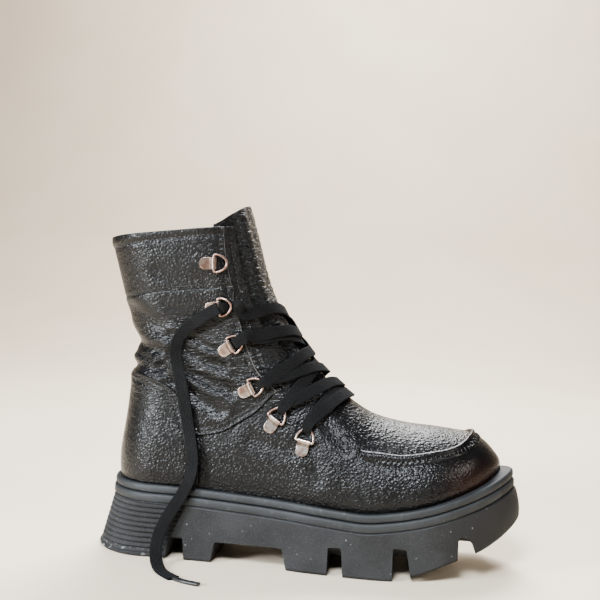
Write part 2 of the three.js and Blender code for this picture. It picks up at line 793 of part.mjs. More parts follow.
function apronRidge() {
  const inside = ridgeOutline("inner");
  const outside = ridgeOutline("outer");
  const band = [
    ...outside.outer,
    outside.tip,
    ...outside.inner.reverse(),
    ...inside.inner,
    inside.tip,
    ...inside.outer.reverse(),
  ];
  return overlayShell(2, 13.5, RIDGE_HEIGHT).intersect(
    planPrism(band, BALL_STACK, HEEL_STACK + BACK_HEIGHT),
  );
}

// The padded tongue: it lies inside the wall at its sides and swells out
// through the throat in its middle.
const TONGUE_ROWS = [
  { above: -0.9, half: 0.34 },
  { above: 0.6, half: 0.62 },
  { above: 2.4, half: 0.88 },
  { above: 4.6, half: 1.11 },
  { above: 6.8, half: 1.19 },
  { above: 8.6, half: 1.27 },
  { above: 9.6, half: 1.29 },
];

function tongueSection(middleRow, half) {
  const steps = 10;
  const outside = [];
  const inside = [];
  const sag = TONGUE_SAG * smooth((middleRow - COLLAR_ROW + 3) / 4);
  for (let i = 0; i <= steps; i++) {
    const across = mix(-half, half, i / steps);
    const side = across < 0 ? -1 : 1;
    const row = middleRow - sag * (across / half) ** 2;
    const around = aroundForWidth(row, Math.abs(across));
    const place = side < 0 ? around : 2 - around;
    const open = smooth((throatHalf(row) - Math.abs(across)) / 7 - 0.25);
    const low = smooth((row - THROAT_START - 0.3) / 1.2);
    const lift = mix(-WALL - TONGUE_GAP, TONGUE_BULGE, open * low);
    const thin = smooth((half - Math.abs(across)) / 9);
    const thickness = mix(1.6, TONGUE_THICKNESS, thin);
    const point = surfacePoint(row, place);
    const normal = surfaceNormal(row, place);
    outside.push(point.clone().addScaledVector(normal, lift));
    inside.push(point.clone().addScaledVector(normal, lift - thickness));
  }
  return [...outside, ...inside.reverse()];
}

// The place along a row at which the surface is a distance from the middle.
function aroundForWidth(row, across) {
  let [low, high] = [0.5, 1];
  const middle = surfacePoint(row, 1).y;
  for (let i = 0; i < 30; i++) {
    const share = (low + high) / 2;
    const wide = Math.abs(surfacePoint(row, share).y - middle) > across;
    [low, high] = wide ? [share, high] : [low, share];
  }
  return (low + high) / 2;
}

function tongue() {
  const halfAt = columnCurve(
    TONGUE_ROWS,
    (row) => THROAT_START + row.above,
    (row) => (row.half * THROAT_WIDTH) / 2,
  );
  const rows = [];
  const end = COLLAR_ROW + TONGUE_STAND;
  for (let row = THROAT_START - 0.9; row < end - 0.4; row += 1.15) rows.push(row);
  rows.push(end);
  return loftSections(rows.map((row) => tongueSection(row, halfAt(row))));
}

// The lace loops down each side: the upper's row, the place along it, how far
// the ring's pull turns up from the row's own line, and what lies under it.
const HOOK_ROWS = [
  { row: 19.51, along: 0.728, turn: -2, on: "quarter" },
  { row: 17.47, along: 0.671, turn: 6, on: "quarter" },
  { row: 15.25, along: 0.626, turn: 36, on: "quarter" },
  { row: 11.82, along: 0.592, turn: 33, on: "quarter" },
  { row: 7.45, along: 0.53, turn: 58, on: "vamp" },
  { row: 4.99, along: 0.542, turn: 78, on: "vamp" },
];
const SIDES = [
  { name: "lateral", sign: -1 },
  { name: "medial", sign: 1 },
];

// A frame on the surface: x points to the ring's pull and z out of the leather.
function hookFrame(hook, side) {
  const around = side.sign < 0 ? hook.along : 2 - hook.along;
  const point = surfacePoint(hook.row, around);
  const out = surfaceNormal(hook.row, around);
  const forward = surfacePoint(hook.row, around + 0.01 * -side.sign)
    .sub(surfacePoint(hook.row, around - 0.01 * -side.sign))
    .normalize();
  const turn = THREE.MathUtils.degToRad(hook.turn) * -side.sign;
  const pull = forward.applyAxisAngle(out, turn).normalize();
  const bar = new THREE.Vector3().crossVectors(out, pull).normalize();
  const under = hook.on === "quarter" ? OVERLAY_GAP + QUARTER_THICKNESS : 0;
  const origin = point.addScaledVector(out, PLATE_GAP + under);
  return new THREE.Matrix4().makeBasis(pull, bar, out).setPosition(origin);
}

const BARREL_INNER = WIRE / 2 + PIN_CLEARANCE;
const BARREL_OUTER = BARREL_INNER + BARREL_WALL;
const BAR_HEIGHT = BARREL_OUTER + 0.1;

// A strip bent round the ring's bar, with a plate that lies on the leather.
function hookPlate() {
  const profile = new THREE.Shape();
  const back = -BARREL_OUTER - PLATE_LENGTH;
  profile.moveTo(back, 0);
  profile.lineTo(0, 0.1);
  profile.absarc(0, BAR_HEIGHT, BARREL_OUTER, -Math.PI / 2, Math.PI * 0.86, false);
  profile.lineTo(-BARREL_OUTER * 0.95, PLATE_THICKNESS);
  profile.lineTo(back, PLATE_THICKNESS);
  profile.closePath();
  const bore = new THREE.Path();
  bore.absarc(0, BAR_HEIGHT, BARREL_INNER, 0, Math.PI * 2, true);
  profile.holes.push(bore);
  const strip = new THREE.ExtrudeGeometry(profile, {
    depth: PLATE_WIDTH,
    bevelEnabled: false,
    curveSegments: 4,
  });
  strip.rotateX(Math.PI / 2);
  strip.translate(0, PLATE_WIDTH / 2, 0);
  const half = PLATE_WIDTH / 2;
  const round = half * 0.85;
  const outline = new THREE.Shape();
  outline.moveTo(FAR, -half - 0.01);
  outline.lineTo(FAR, half + 0.01);
  outline.lineTo(back + round, half + 0.01);
  outline.absellipse(back + round, 0, round, half + 0.01, Math.PI / 2, Math.PI * 1.5, false);
  outline.closePath();
  const plan = new THREE.ExtrudeGeometry(outline, {
    depth: 20,
    bevelEnabled: false,
    curveSegments: 3,
  });
  plan.translate(0, 0, -10);
  return solidOf(strip).intersect(solidOf(plan));
}

// The ring's wire: a straight bar and a bow, as a closed loop of sections.
function ringWire() {
  const sides = 6;
  const radius = WIRE / 2;
  const half = RING_SPAN / 2;
  const path = [new THREE.Vector2(0, -half + 1.2), new THREE.Vector2(0, half - 1.2)];
  const bow = 5;
  for (let i = 0; i <= bow; i++) {
    const angle = mix(Math.PI * 0.47, -Math.PI * 0.47, i / bow);
    path.push(new THREE.Vector2(RING_DEPTH * Math.cos(angle), half * Math.sin(angle)));
  }
  const positions = [];
  path.forEach((point, i) => {
    const before = path[(i + path.length - 1) % path.length];
    const after = path[(i + 1) % path.length];
    const ahead = after.clone().sub(before).normalize();
    const across = new THREE.Vector2(ahead.y, -ahead.x);
    for (let k = 0; k < sides; k++) {
      const angle = (2 * Math.PI * k) / sides;
      const reach = radius * Math.cos(angle);
      positions.push(
        new THREE.Vector3(
          point.x + across.x * reach,
          point.y + across.y * reach,
          BAR_HEIGHT + radius * Math.sin(angle),
        ),
      );
    }
  });
  const faces = [];
  path.forEach((_, i) => {
    const [low, high] = [i * sides, ((i + 1) % path.length) * sides];
    for (let k = 0; k < sides; k++) {
      const next = (k + 1) % sides;
      faces.push(quad(low + k, low + next, high + next, high + k));
    }
  });
  const made = solidFrom(positions, faces);
  if (made.volume() > 0) return made;
  return solidFrom(
    positions,
    faces.map((face) => [...face].reverse()),
  );
}

// Corners of the lace's section, as shares of its width and thickness
const FLAT = [
  [-0.5, -0.5],
  [0.5, -0.5],
  [0.5, 0.5],
  [-0.5, 0.5],
];
const ROUNDED = [
  [-0.5, -0.18],
  [-0.36, -0.5],
  [0.36, -0.5],
  [0.5, -0.18],
  [0.5, 0.18],
  [0.36, 0.5],
  [-0.36, 0.5],
  [-0.5, 0.18],
];

// A flat band along points, with the direction that its face looks in.
function ribbon(places, width, thickness, corners) {
  const sections = places.map(({ point, out }, i) => {
    const before = places[Math.max(i - 1, 0)].point;
    const after = places[Math.min(i + 1, places.length - 1)].point;
    const ahead = after.clone().sub(before).normalize();
    const across = new THREE.Vector3().crossVectors(ahead, out).normalize();
    const up = new THREE.Vector3().crossVectors(across, ahead).normalize();
    return corners.map(([a, b]) =>
      point
        .clone()
        .addScaledVector(across, a * width)
        .addScaledVector(up, b * thickness),
    );
  });
  return loftSections(sections);
}

// Where the lace leaves a ring, just past its bow.
function laceEnd(index, side) {
  const hook = HOOK_ROWS[index];
  const frame = hookFrame(hook, side);
  const reach = RING_DEPTH + WIRE / 2 + 1.8 + LACE_THICKNESS;
  const point = new THREE.Vector3(reach, 0, LACE_LIFT - 1).applyMatrix4(frame);
  const out = new THREE.Vector3().setFromMatrixColumn(frame, 2);
  return { point, out };
}

// The place on the upper, as row and around, that lies nearest to a point.
function placeNear(point, guess) {
  let best = guess;
  const away = ([row, around]) => surfacePoint(row, around).distanceTo(point);
  for (let step = 1; step > 0.01; step *= 0.7) {
    const tries = [
      [step, 0],
      [-step, 0],
      [0, step / 16],
      [0, -step / 16],
    ].map(([row, around]) => [best[0] + row, best[1] + around]);
    for (const place of tries) {
      if (away(place) < away(best)) best = place;
    }
  }
  return best;
}

// Where the lace crosses the middle of the throat, as rows of the upper: first
// the strand that rises from the outer side to the inner, then the other one.
const LACE_ROWS = [
  { lower: 6, upper: 5, rising: 12.5, falling: 12.65 },
  { lower: 5, upper: 4, rising: 14.27, falling: 13.75 },
  { lower: 4, upper: 3, rising: 14.9, falling: 15.55 },
  { lower: 3, upper: 2, rising: 15.95, falling: 17.05 },
];
const LOWEST_LACE_ROW = 11.85;

// A strand from a ring on the outer side to one on the inner side.
function strand(fromRing, toRing, middleRow, lift) {
  const start = laceEnd(fromRing - 1, SIDES[0]);
  const end = laceEnd(toRing - 1, SIDES[1]);
  const out = surfaceNormal(middleRow, 1);
  const middle = surfacePoint(middleRow, 1).addScaledVector(out, LACE_LIFT + lift);
  const places = [start];
  for (let i = 1; i < LACE_STEPS; i++) {
    const share = (2 * i) / LACE_STEPS - 1;
    const far = share < 0 ? start.point : end.point;
    const chord = middle.clone().lerp(far, Math.abs(share));
    const guess = [mix(middleRow, 9, Math.abs(share) * 0.5), 1 + share * 0.3];
    const [row, around] = placeNear(chord, guess);
    const normal = surfaceNormal(row, around);
    const point = surfacePoint(row, around).addScaledVector(normal, LACE_LIFT + lift);
    places.push({ point, out: normal });
  }
  places.push(end);
  return ribbon(places, LACE_WIDTH, LACE_THICKNESS, FLAT);
}

function laceCrossings() {
  const strands = [strand(6, 6, LOWEST_LACE_ROW, 0)];
  for (const { lower, upper: next, rising, falling } of LACE_ROWS) {
    strands.push(strand(lower, next, rising, 0));
    strands.push(strand(next, lower, falling, LACE_THICKNESS * 0.6));
  }
  const joined = strands.reduce((all, piece) => all.add(piece));
  return joined.decompose().find((body) => body.volume() > 100);
}

// The lace's free end, from the second ring down the outer side to the floor:
// its middle line, in millimetres from the origin.
const LACE_END = [
  [63, -45.1, 175.6],
  [57.2, -44.8, 172.9],
  [50.5, -43.9, 169.2],
  [43.4, -42, 164.6],
  [35.5, -40.2, 158.6],
  [29.6, -39, 151.2],
  [27.5, -38.2, 142.5],
  [28.7, -37.8, 133.5],
  [31.6, -37.8, 122.5],
  [35, -38.4, 108.4],
  [38.2, -39.3, 94],
  [41.8, -40.9, 79],
  [44, -42.4, 66.5],
  [42.4, -44, 55.6],
  [37.6, -45.3, 45],
  [32.3, -46.3, 36],
  [27.6, -47.1, 27.6],
  [24.4, -48.1, 19.6],
  [23, -50, 12],
  [24, -54, 5.6],
  [27.5, -61.5, 2.1],
  [33, -71, 1.1],
  [41, -80, 1.1],
  [51, -87, 1.1],
  [63, -91, 1.1],
];
const laceCurve = new THREE.CatmullRomCurve3(
  LACE_END.map(([x, y, z]) => new THREE.Vector3(x, y, z)),
  false,
  "centripetal",
);

function lacePlaces(from, to, steps) {
  return Array.from({ length: steps + 1 }, (_, i) => {
    const share = mix(from, to, i / steps);
    const point = laceCurve.getPointAt(share);
    const lying = smooth((16 - point.z) / 13);
    const out = new THREE.Vector3(0, -1, 0.12)
      .lerp(new THREE.Vector3(0, 0, 1), lying)
      .normalize();
    return { point, out };
  });
}
const tipShare = TIP_LENGTH / laceCurve.getLength();
const laceEndLateral = () =>
  ribbon(lacePlaces(0, 1 - tipShare - 0.001, 26), LACE_WIDTH, LACE_THICKNESS, ROUNDED);
const laceTipLateral = () =>
  ribbon(lacePlaces(1 - tipShare + 0.001, 1, 3), LACE_WIDTH * 0.42, LACE_THICKNESS * 1.35, ROUNDED);

// The boot as named meshes
const boot = new THREE.Group();
boot.name = "combat_boot";

function addPiece(name, solid, finish) {
  const mesh = solid.getMesh();
  const geometry = new THREE.BufferGeometry();
  const positions = new Float32Array(mesh.numVert * 3);
  for (let i = 0; i < mesh.numVert; i++) {
    for (let k = 0; k < 3; k++) {
      positions[3 * i + k] = mesh.vertProperties[mesh.numProp * i + k];
    }
  }
  geometry.setAttribute("position", new THREE.BufferAttribute(positions, 3));
  geometry.setIndex(new THREE.BufferAttribute(mesh.triVerts, 1));
  geometry.computeVertexNormals();
  const piece = new THREE.Mesh(geometry, new THREE.MeshStandardMaterial(finish));
  piece.name = name;
  boot.add(piece);
  return piece;
}

addPiece("outsole", outsole(), rubber);
addPiece("welt", welt(), rubber);
addPiece("insole", insole(), board);
addPiece("upper", upper(), leather);
addPiece("heel_counter", heelCounter(), leather);
addPiece("quarter_lateral", quarter(-1), leather);
addPiece("quarter_medial", quarter(1), leather);
addPiece("collar_cuff", collarCuff(), leather);
addPiece("apron_ridge", apronRidge(), leather);
addPiece("tongue", tongue(), darkLeather);

HOOK_ROWS.forEach((hook, index) => {
  for (const side of SIDES) {
    const frame = hookFrame(hook, side);
    const plate = addPiece(`loop_plate_${side.name}_${index + 1}`, hookPlate(), metal);
    const ring = addPiece(`lace_ring_${side.name}_${index + 1}`, ringWire(), metal);
    plate.applyMatrix4(frame);
    ring.applyMatrix4(frame);
  }
});

addPiece("lace_crossings", laceCrossings(), cotton);
addPiece("lace_end_lateral", laceEndLateral(), cotton);
addPiece("lace_tip_lateral", laceTipLateral(), cotton);

export default boot;
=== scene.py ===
"""Combat boot for the right foot: its looks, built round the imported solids.

Lengths are worked out in millimetres and handed to Blender in metres.
+X points to the toe, +Y to the inner side of the foot and +Z up.
"""

import logging
import math
from dataclasses import dataclass, field
from enum import Enum
from typing import Any, Callable, Iterable, Mapping, Sequence

import bpy
import numpy as np
from mathutils import Matrix, Vector


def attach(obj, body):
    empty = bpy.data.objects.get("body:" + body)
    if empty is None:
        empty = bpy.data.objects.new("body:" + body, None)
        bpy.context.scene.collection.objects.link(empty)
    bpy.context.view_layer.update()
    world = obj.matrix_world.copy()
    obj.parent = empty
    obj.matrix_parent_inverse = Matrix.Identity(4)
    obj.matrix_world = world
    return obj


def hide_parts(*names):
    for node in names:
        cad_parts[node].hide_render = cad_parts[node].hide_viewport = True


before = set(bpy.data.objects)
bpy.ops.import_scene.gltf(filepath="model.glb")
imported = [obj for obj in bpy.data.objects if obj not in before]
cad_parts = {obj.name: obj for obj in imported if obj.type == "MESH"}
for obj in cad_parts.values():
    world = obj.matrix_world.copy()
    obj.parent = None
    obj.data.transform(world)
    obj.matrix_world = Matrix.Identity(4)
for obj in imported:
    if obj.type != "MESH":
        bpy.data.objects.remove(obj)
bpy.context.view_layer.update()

Array = np.ndarray
log = logging.getLogger("combat_boot")
MM = 0.001


class Side(Enum):
    """The two sides of the boot, with the sign of Y on each."""

    LATERAL = -1
    MEDIAL = 1


# Numbers and curves
def mix(low: Any, high: Any, share: Any) -> Any:
    """The value at a share of the way from low to high."""
    return low + (high - low) * share


def smooth(value: Any) -> Array:
    """An S-shaped step from 0 to 1."""
    held = np.clip(value, 0, 1)
    return held * held * (3 - 2 * held)


def arc(share: Any) -> Array:
    """A quarter circle that rises from 0 to 1."""
    return np.sqrt(1 - (1 - np.clip(share, 0, 1)) ** 2)


def bell(value: Any) -> Array:
    """A soft hump round 0."""
    return np.exp(-np.square(value))


def unit(vectors: Array) -> Array:
    """The same directions with a length of 1."""
    return vectors / np.maximum(np.linalg.norm(vectors, axis=-1, keepdims=True), 1e-9)


class Curve:
    """A smooth curve through points with rising x that never overshoots them."""

    def __init__(self, xs: Iterable[float], ys: Iterable[float]) -> None:
        """Work out the slope at each point.

        Args:
            xs: The points' places, rising.
            ys: The points' values.
        """
        self.xs = np.array(list(xs), float)
        self.ys = np.array(list(ys), float)
        slopes = np.diff(self.ys) / np.diff(self.xs)
        before, after = slopes[:-1], slopes[1:]
        total = np.where(before + after == 0, 1, before + after)
        inner = np.where(before * after <= 0, 0, 2 * before * after / total)
        self.tangents = np.concatenate([slopes[:1], inner, slopes[-1:]])

    def __call__(self, x: Any) -> Array:
        """The curve's value.

        Args:
            x: Places along the curve, which runs on straight past its ends.

        Returns:
            A value for each place.
        """
        x = np.asarray(x, float)
        i = np.clip(np.searchsorted(self.xs, x, side="right") - 1, 0, len(self.xs) - 2)
        width = self.xs[i + 1] - self.xs[i]
        u = np.clip((x - self.xs[i]) / width, 0, 1)
        start, end = self.tangents[i], self.tangents[i + 1]
        bend = (1 - u) ** 2 * u * start - u**2 * (1 - u) * end
        value = mix(self.ys[i], self.ys[i + 1], smooth(u)) + bend * width
        below = np.minimum(x - self.xs[0], 0) * self.tangents[0]
        above = np.maximum(x - self.xs[-1], 0) * self.tangents[-1]
        return value + below + above


def spline(points: Sequence[Sequence[float]], steps: int, closed: bool = False) -> Array:
    """A smooth line through points.

    Args:
        points: The points that it passes.
        steps: Steps from each point to the next.
        closed: Whether it comes back to its first point.

    Returns:
        The line's points.
    """
    knots = np.array(points, float)
    if closed:
        knots = np.vstack([knots[-1:], knots, knots[:2]])
    else:
        first = 2 * knots[0] - knots[1]
        last = 2 * knots[-1] - knots[-2]
        knots = np.vstack([first, knots, last])
    line = []
    for a, b, c, d in zip(knots, knots[1:], knots[2:], knots[3:]):
        gaps = [max(np.linalg.norm(q - p), 1e-6) ** 0.5 for p, q in ((a, b), (b, c), (c, d))]
        start = (b - a) / gaps[0] - (c - a) / (gaps[0] + gaps[1]) + (c - b) / gaps[1]
        end = (c - b) / gaps[1] - (d - b) / (gaps[1] + gaps[2]) + (d - c) / gaps[2]
        start, end = start * gaps[1], end * gaps[1]
        for u in np.arange(steps) / steps:
            line.append(
                (2 * u**3 - 3 * u**2 + 1) * b
                + (u**3 - 2 * u**2 + u) * start
                + (3 * u**2 - 2 * u**3) * c
                + (u**3 - u**2) * end
            )
    if not closed:
        line.append(knots[-2])
    return np.array(line)


def column(rows: Sequence[Sequence[float]], key: int) -> Array:
    """One column of a table."""
    return np.array([row[key] for row in rows], float)


def runs(line: Array) -> Array:
    """How far along a line each of its points lies."""
    return np.concatenate([[0], np.cumsum(np.linalg.norm(np.diff(line, axis=0), axis=1))])


def picked(values: Array, knots: Array, at: Array) -> Array:
    """Rows of numbers between those that are given at knots."""
    return np.stack([np.interp(at, knots, each) for each in values.T], axis=1)


def evenly(line: Array, spacing: float) -> Array:
    """A line's points again, at even distances.

    Args:
        line: The line's points.
        spacing: Distance between new points, rounded so that they fit.

    Returns:
        The new points, both ends among them.
    """
    lengths = runs(line)
    count = max(int(round(lengths[-1] / spacing)), 1)
    return picked(line, lengths, np.linspace(0, lengths[-1], count + 1))


def distance_to(line: Array, points: Array) -> Array:
    """How far points lie from a line in the plane.

    Args:
        line: The line's points, two numbers each.
        points: The points to measure from.

    Returns:
        A distance for each point.
    """
    best = np.full(len(points), 1e9)
    for start, end in zip(line, line[1:]):
        along = end - start
        share = np.clip((points - start) @ along / max(along @ along, 1e-9), 0, 1)
        away = np.linalg.norm(points - start - share[:, None] * along, axis=1)
        best = np.minimum(best, away)
    return best


def inside(outline: Array, points: Array) -> Array:
    """How far points lie inside a closed outline in the plane.

    Args:
        outline: The outline's corners.
        points: The points to measure.

    Returns:
        A distance for each point, below 0 outside.
    """
    closed = np.vstack([outline, outline[:1]])
    held = np.zeros(len(points), bool)
    for (x1, z1), (x2, z2) in zip(closed, closed[1:]):
        if z1 == z2:
            continue
        crosses = (points[:, 1] > z1) != (points[:, 1] > z2)
        at = x1 + (points[:, 1] - z1) * (x2 - x1) / (z2 - z1)
        held ^= crosses & (points[:, 0] < at)
    return np.where(held, 1, -1) * distance_to(closed, points)


# The boot's form, from the same rows as the solids
FEATHER_ROWS = (
    (0.0, 1, 0), (0.2, 0.9, 0), (0.37, 0.62, 0), (0.49, 0.36, 0), (0.59, 0.1, 0),
    (0.64, 0, 0), (0.715, 0, 0.09), (0.79, 0, 0.27), (0.86, 0, 0.51), (0.915, 0, 0.74),
    (0.96, 0, 1),
)
TREAD_ROWS = (
    (0.0, 0), (0.7, 0), (0.76, 0.13), (0.855, 0.46), (0.91, 0.63), (0.95, 0.81), (0.985, 1),
)
PLAN_ROWS = (
    (0.03, 0, 0), (0.23, 0.03, -0.008), (0.3, 0.04, -0.02), (0.37, 0.1, -0.032),
    (0.44, 0.27, -0.037), (0.51, 0.52, -0.032), (0.58, 0.78, -0.026), (0.65, 0.95, -0.021),
    (0.71, 1, -0.01), (0.77, 1, 0), (0.82, 1, 0.016), (0.9, 1, 0.05), (0.96, 1, 0.077),
)
LEG_ROWS = (
    (-0.05, 0.985, 0), (0.0, 1, 0), (0.06, 1.03, 0), (0.15, 1.02, 0), (0.24, 0.975, 0),
    (0.325, 0.78, 0.132), (0.41, 0.6, 0.275), (0.59, 0.3, 0.546), (0.77, 0.1, 0.804),
    (0.89, 0, 0.951), (1.0, 0, 1), (1.2, 0, 1.05),
)
UPPER_ROWS = (
    (0.031, 0, 0.9575, 0, 0, 1), (0.0303, 0.003, 0.9586, 0.01, 0, 1),
    (0.0269, 0.041, 0.9552, 0.165, 0, 0.9), (0.0262, 0.089, 0.9414, 0.37, 0, 0.7),
    (0.0286, 0.142, 0.9172, 0.64, 0, 0.5), (0.0328, 0.195, 0.8862, 0.86, 0, 0.3),
    (0.0362, 0.243, 0.8448, 1, 0.002, 0.15), (0.0383, 0.284, 0.7897, 1, 0.049, 0.05),
    (0.0397, 0.32, 0.7345, 1, 0.084, 0), (0.0414, 0.355, 0.6862, 1, 0.115, 0),
    (0.0431, 0.39, 0.6448, 1, 0.147, 0), (0.0448, 0.426, 0.6103, 1, 0.182, 0),
    (0.0466, 0.46, 0.5759, 1, 0.226, 0), (0.0493, 0.497, 0.5414, 1, 0.276, 0),
    (0.0531, 0.533, 0.5069, 1, 0.334, 0), (0.0545, 0.574, 0.4724, 1, 0.407, 0),
    (0.0483, 0.62, 0.4414, 1, 0.49, 0), (0.0338, 0.68, 0.4138, 1, 0.582, 0),
    (0.0207, 0.75, 0.3897, 1, 0.673, 0), (0.0069, 0.828, 0.369, 1, 0.776, 0),
    (-0.0069, 0.911, 0.3517, 1, 0.887, 0), (-0.0207, 1, 0.3345, 1, 1, 0),
    (-0.029, 1.095, 0.3172, 1, 1.11, 0),
)
COLLAR_ROW = len(UPPER_ROWS) - 2


@dataclass
class BootForm:
    """The leather's surface. A place on it is a row, counted up from the foot of the
    leather, and a turn: 0 at the back, 1 at the front by the outer side, -1 at the
    front by the inner side."""

    sole_length: float = 290
    heel_rest: float = 24
    heel_stack: float = 50
    ball_stack: float = 42
    toe_rise: float = 27
    toe_spring: float = 31
    heel_width: float = 70.8
    ball_width: float = 94.6
    shaft_width: float = 82
    toe_height: float = 40
    leg_height: float = 143
    back_height: float = 169.5
    toe_round: float = 60
    heel_round: float = 33
    shin_round: float = 38
    welt_height: float = 5.6
    wall: float = 2

    def __post_init__(self) -> None:
        """Lay the curves through the rows."""
        along = self.along
        rows = UPPER_ROWS
        stack = self.ball_stack + column(FEATHER_ROWS, 1) * (self.heel_stack - self.ball_stack)
        self.feather = Curve(
            along(column(FEATHER_ROWS, 0)), stack + column(FEATHER_ROWS, 2) * self.toe_rise
        )
        self.tread = Curve(along(column(TREAD_ROWS, 0)), column(TREAD_ROWS, 1) * self.toe_spring)
        plan = along(column(PLAN_ROWS, 0))
        self.plan_half = Curve(
            plan, mix(self.heel_width, self.ball_width, column(PLAN_ROWS, 1)) / 2
        )
        self.plan_shift = Curve(plan, column(PLAN_ROWS, 2) * self.ball_width)
        leg = column(LEG_ROWS, 1) * self.heel_width + column(LEG_ROWS, 2) * self.shaft_width
        self.leg_half = Curve(self.heel_stack + column(LEG_ROWS, 0) * self.back_height, leg / 2)
        drop = np.where(np.arange(len(rows)) == 0, self.welt_height, 0)
        back_x, front_x = along(column(rows, 0)), along(column(rows, 2))
        back_z = self.heel_stack + column(rows, 1) * self.back_height - drop
        front_z = (
            self.feather(front_x)
            + column(rows, 3) * self.toe_height
            + column(rows, 4) * self.leg_height
            - drop
        )
        index = np.arange(len(rows))
        self.back_x, self.back_z = Curve(index, back_x), Curve(index, back_z)
        self.front_x, self.front_z = Curve(index, front_x), Curve(index, front_z)
        self.settle = Curve(index, column(rows, 5))
        self.top_at = Curve(front_x[:0:-1], front_z[:0:-1])
        self.shin_at = Curve(front_z[1:], front_x[1:])
        self.heel_at = Curve(back_z[1:], back_x[1:])

    def along(self, share: Any) -> Any:
        """The place along the boot at a share of the sole's length."""
        return np.asarray(share) * self.sole_length - self.heel_rest

    def from_side(self, points: Sequence[Sequence[float]]) -> Array:
        """An outline's points seen from the side, from shares of the boot's sizes."""
        shares = np.array(points, float)
        up = self.heel_stack + shares[:, 1] * self.back_height
        return np.stack([self.along(shares[:, 0]), up], axis=1)

    def half_width(self, x: Array, z: Array) -> Array:
        """Half the boot's width at places seen from the side.

        Args:
            x: Places along the boot.
            z: Heights.

        Returns:
            The half widths.
        """
        foot = self.feather(x)
        up = np.clip((z - foot) / np.maximum(self.top_at(x) - foot, 1), 0, 1)
        swell = 1 - 0.035 * np.clip(1 - up / 0.12, 0, 1) ** 2
        dome = np.maximum(1 - up**2.4, 0) ** 0.62 * swell
        toe_end = self.along(UPPER_ROWS[1][2])
        toe = np.clip((x - toe_end + self.toe_round) / self.toe_round, 0, 1)
        forefoot = self.plan_half(x) * (1 - toe**2) ** 0.55 * dome
        shin = arc((self.shin_at(z) - x) / self.shin_round)
        heel = arc((x - self.heel_at(z)) / self.heel_round)
        share = smooth((x - self.along(0.32)) / (self.sole_length * 0.22))
        return mix(self.leg_half(z) * heel * shin, forefoot, share)

    def middle(self, x: Array, z: Array) -> Array:
        """Where the middle line runs at places seen from the side."""
        foot = self.feather(x)
        up = np.clip((z - foot) / np.maximum(self.top_at(x) - foot, 1), 0, 1)
        return self.plan_shift(x) * (1 - 0.45 * up) * smooth(1.4 - up * 0.6)

    def surface(self, row: Array, turn: Array) -> Array:
        """Points of the leather's surface.

        Args:
            row: The places' rows.
            turn: Their turns.

        Returns:
            A point for each place.
        """
        row, turn = np.broadcast_arrays(np.asarray(row, float), np.asarray(turn, float))
        turn = (turn + 1) % 2 - 1
        share = np.abs(turn)
        back_x, front_x = self.back_x(row), self.front_x(row)
        x = mix(back_x, front_x, share)
        straight = mix(self.feather(back_x), self.feather(front_x), share)
        level = mix(self.back_z(row), self.front_z(row), share)
        z = level + self.settle(row) * (self.feather(x) - straight)
        tip = (share < 1e-6) | (share > 1 - 1e-6)
        half = np.where(tip, 0, self.half_width(x, z))
        return np.stack([x, self.middle(x, z) - np.sign(turn) * half, z], axis=-1)

    def normal(self, row: Array, turn: Array, step: float = 0.02) -> Array:
        """Directions out of the leather.

        Args:
            row: The places' rows.
            turn: Their turns.
            step: The turn over which the slope is taken.

        Returns:
            A direction for each place.
        """
        low = np.maximum(np.asarray(row) - 0.25, 0)
        up = self.surface(np.asarray(row) + 0.25, turn) - self.surface(low, turn)
        on = self.surface(row, np.asarray(turn) + step)
        on = on - self.surface(row, np.asarray(turn) - step)
        return unit(np.cross(on, up))

    def side_y(self, x: Array, z: Array, side: Side) -> Array:
        """Where one side of the leather lies at places seen from the side."""
        return self.middle(x, z) + side.value * self.half_width(x, z)

    def on_side(self, line: Array, side: Side) -> tuple[Array, Array]:
        """A line that is seen from the side, laid onto the leather.

        Args:
            line: The line's points, x and z.
            side: The side that it lies on.

        Returns:
            Its points on the surface, and the directions out of it.
        """
        x, z = line[:, 0], line[:, 1]
        x = np.maximum(x, self.heel_at(z) + 1e-4)
        step = 0.6
        right, left = self.side_y(x + step, z, side), self.side_y(x - step, z, side)
        above, below = self.side_y(x, z + step, side), self.side_y(x, z - step, side)
        slope_x, slope_z = (right - left) / (2 * step), (above - below) / (2 * step)
        slopes = np.stack([-slope_x, np.ones(len(x)), -slope_z], axis=1)
        return np.stack([x, self.side_y(x, z, side), z], axis=1), unit(slopes * side.value)


@dataclass(frozen=True)
class Fold:
    """A soft trough that use has pressed into the leather, with a ridge beside it."""

    line: tuple[tuple[float, float], ...]
    depth: float
    width: float
    sides: tuple[Side, ...] = (Side.LATERAL, Side.MEDIAL)


FOLDS = (
    Fold(((-9, 129), (2, 131), (14, 130), (24, 136)), 1.5, 3.6),
    Fold(((-13, 150), (-3, 144), (9, 140), (20, 141)), 1.3, 4.2),
    Fold(((22, 152), (33, 143), (46, 136), (60, 133)), 1.2, 3.2),
    Fold(((26, 141), (39, 130), (53, 122), (68, 116)), 1.1, 3.4),
    Fold(((16, 130), (30, 119), (45, 110), (60, 102)), 0.9, 3.6),
    Fold(((-8, 170), (4, 165), (16, 158)), 0.8, 4.5),
    Fold(((14, 196), (30, 191), (46, 192)), 0.5, 5.5),
    Fold(((38, 152), (50, 146), (62, 144)), 0.6, 2.2),
    Fold(((35, 128), (48, 121), (58, 117)), 0.6, 2.2),
    Fold(((-12, 139), (-2, 137), (8, 135)), 0.7, 2.4),
    Fold(((84, 84), (98, 80), (112, 80)), 0.5, 5.0),
    Fold(((118, 90), (126, 76), (130, 62)), 0.5, 4.5),
    Fold(((132, 99), (140, 90), (146, 84)), 0.6, 4.0),
)


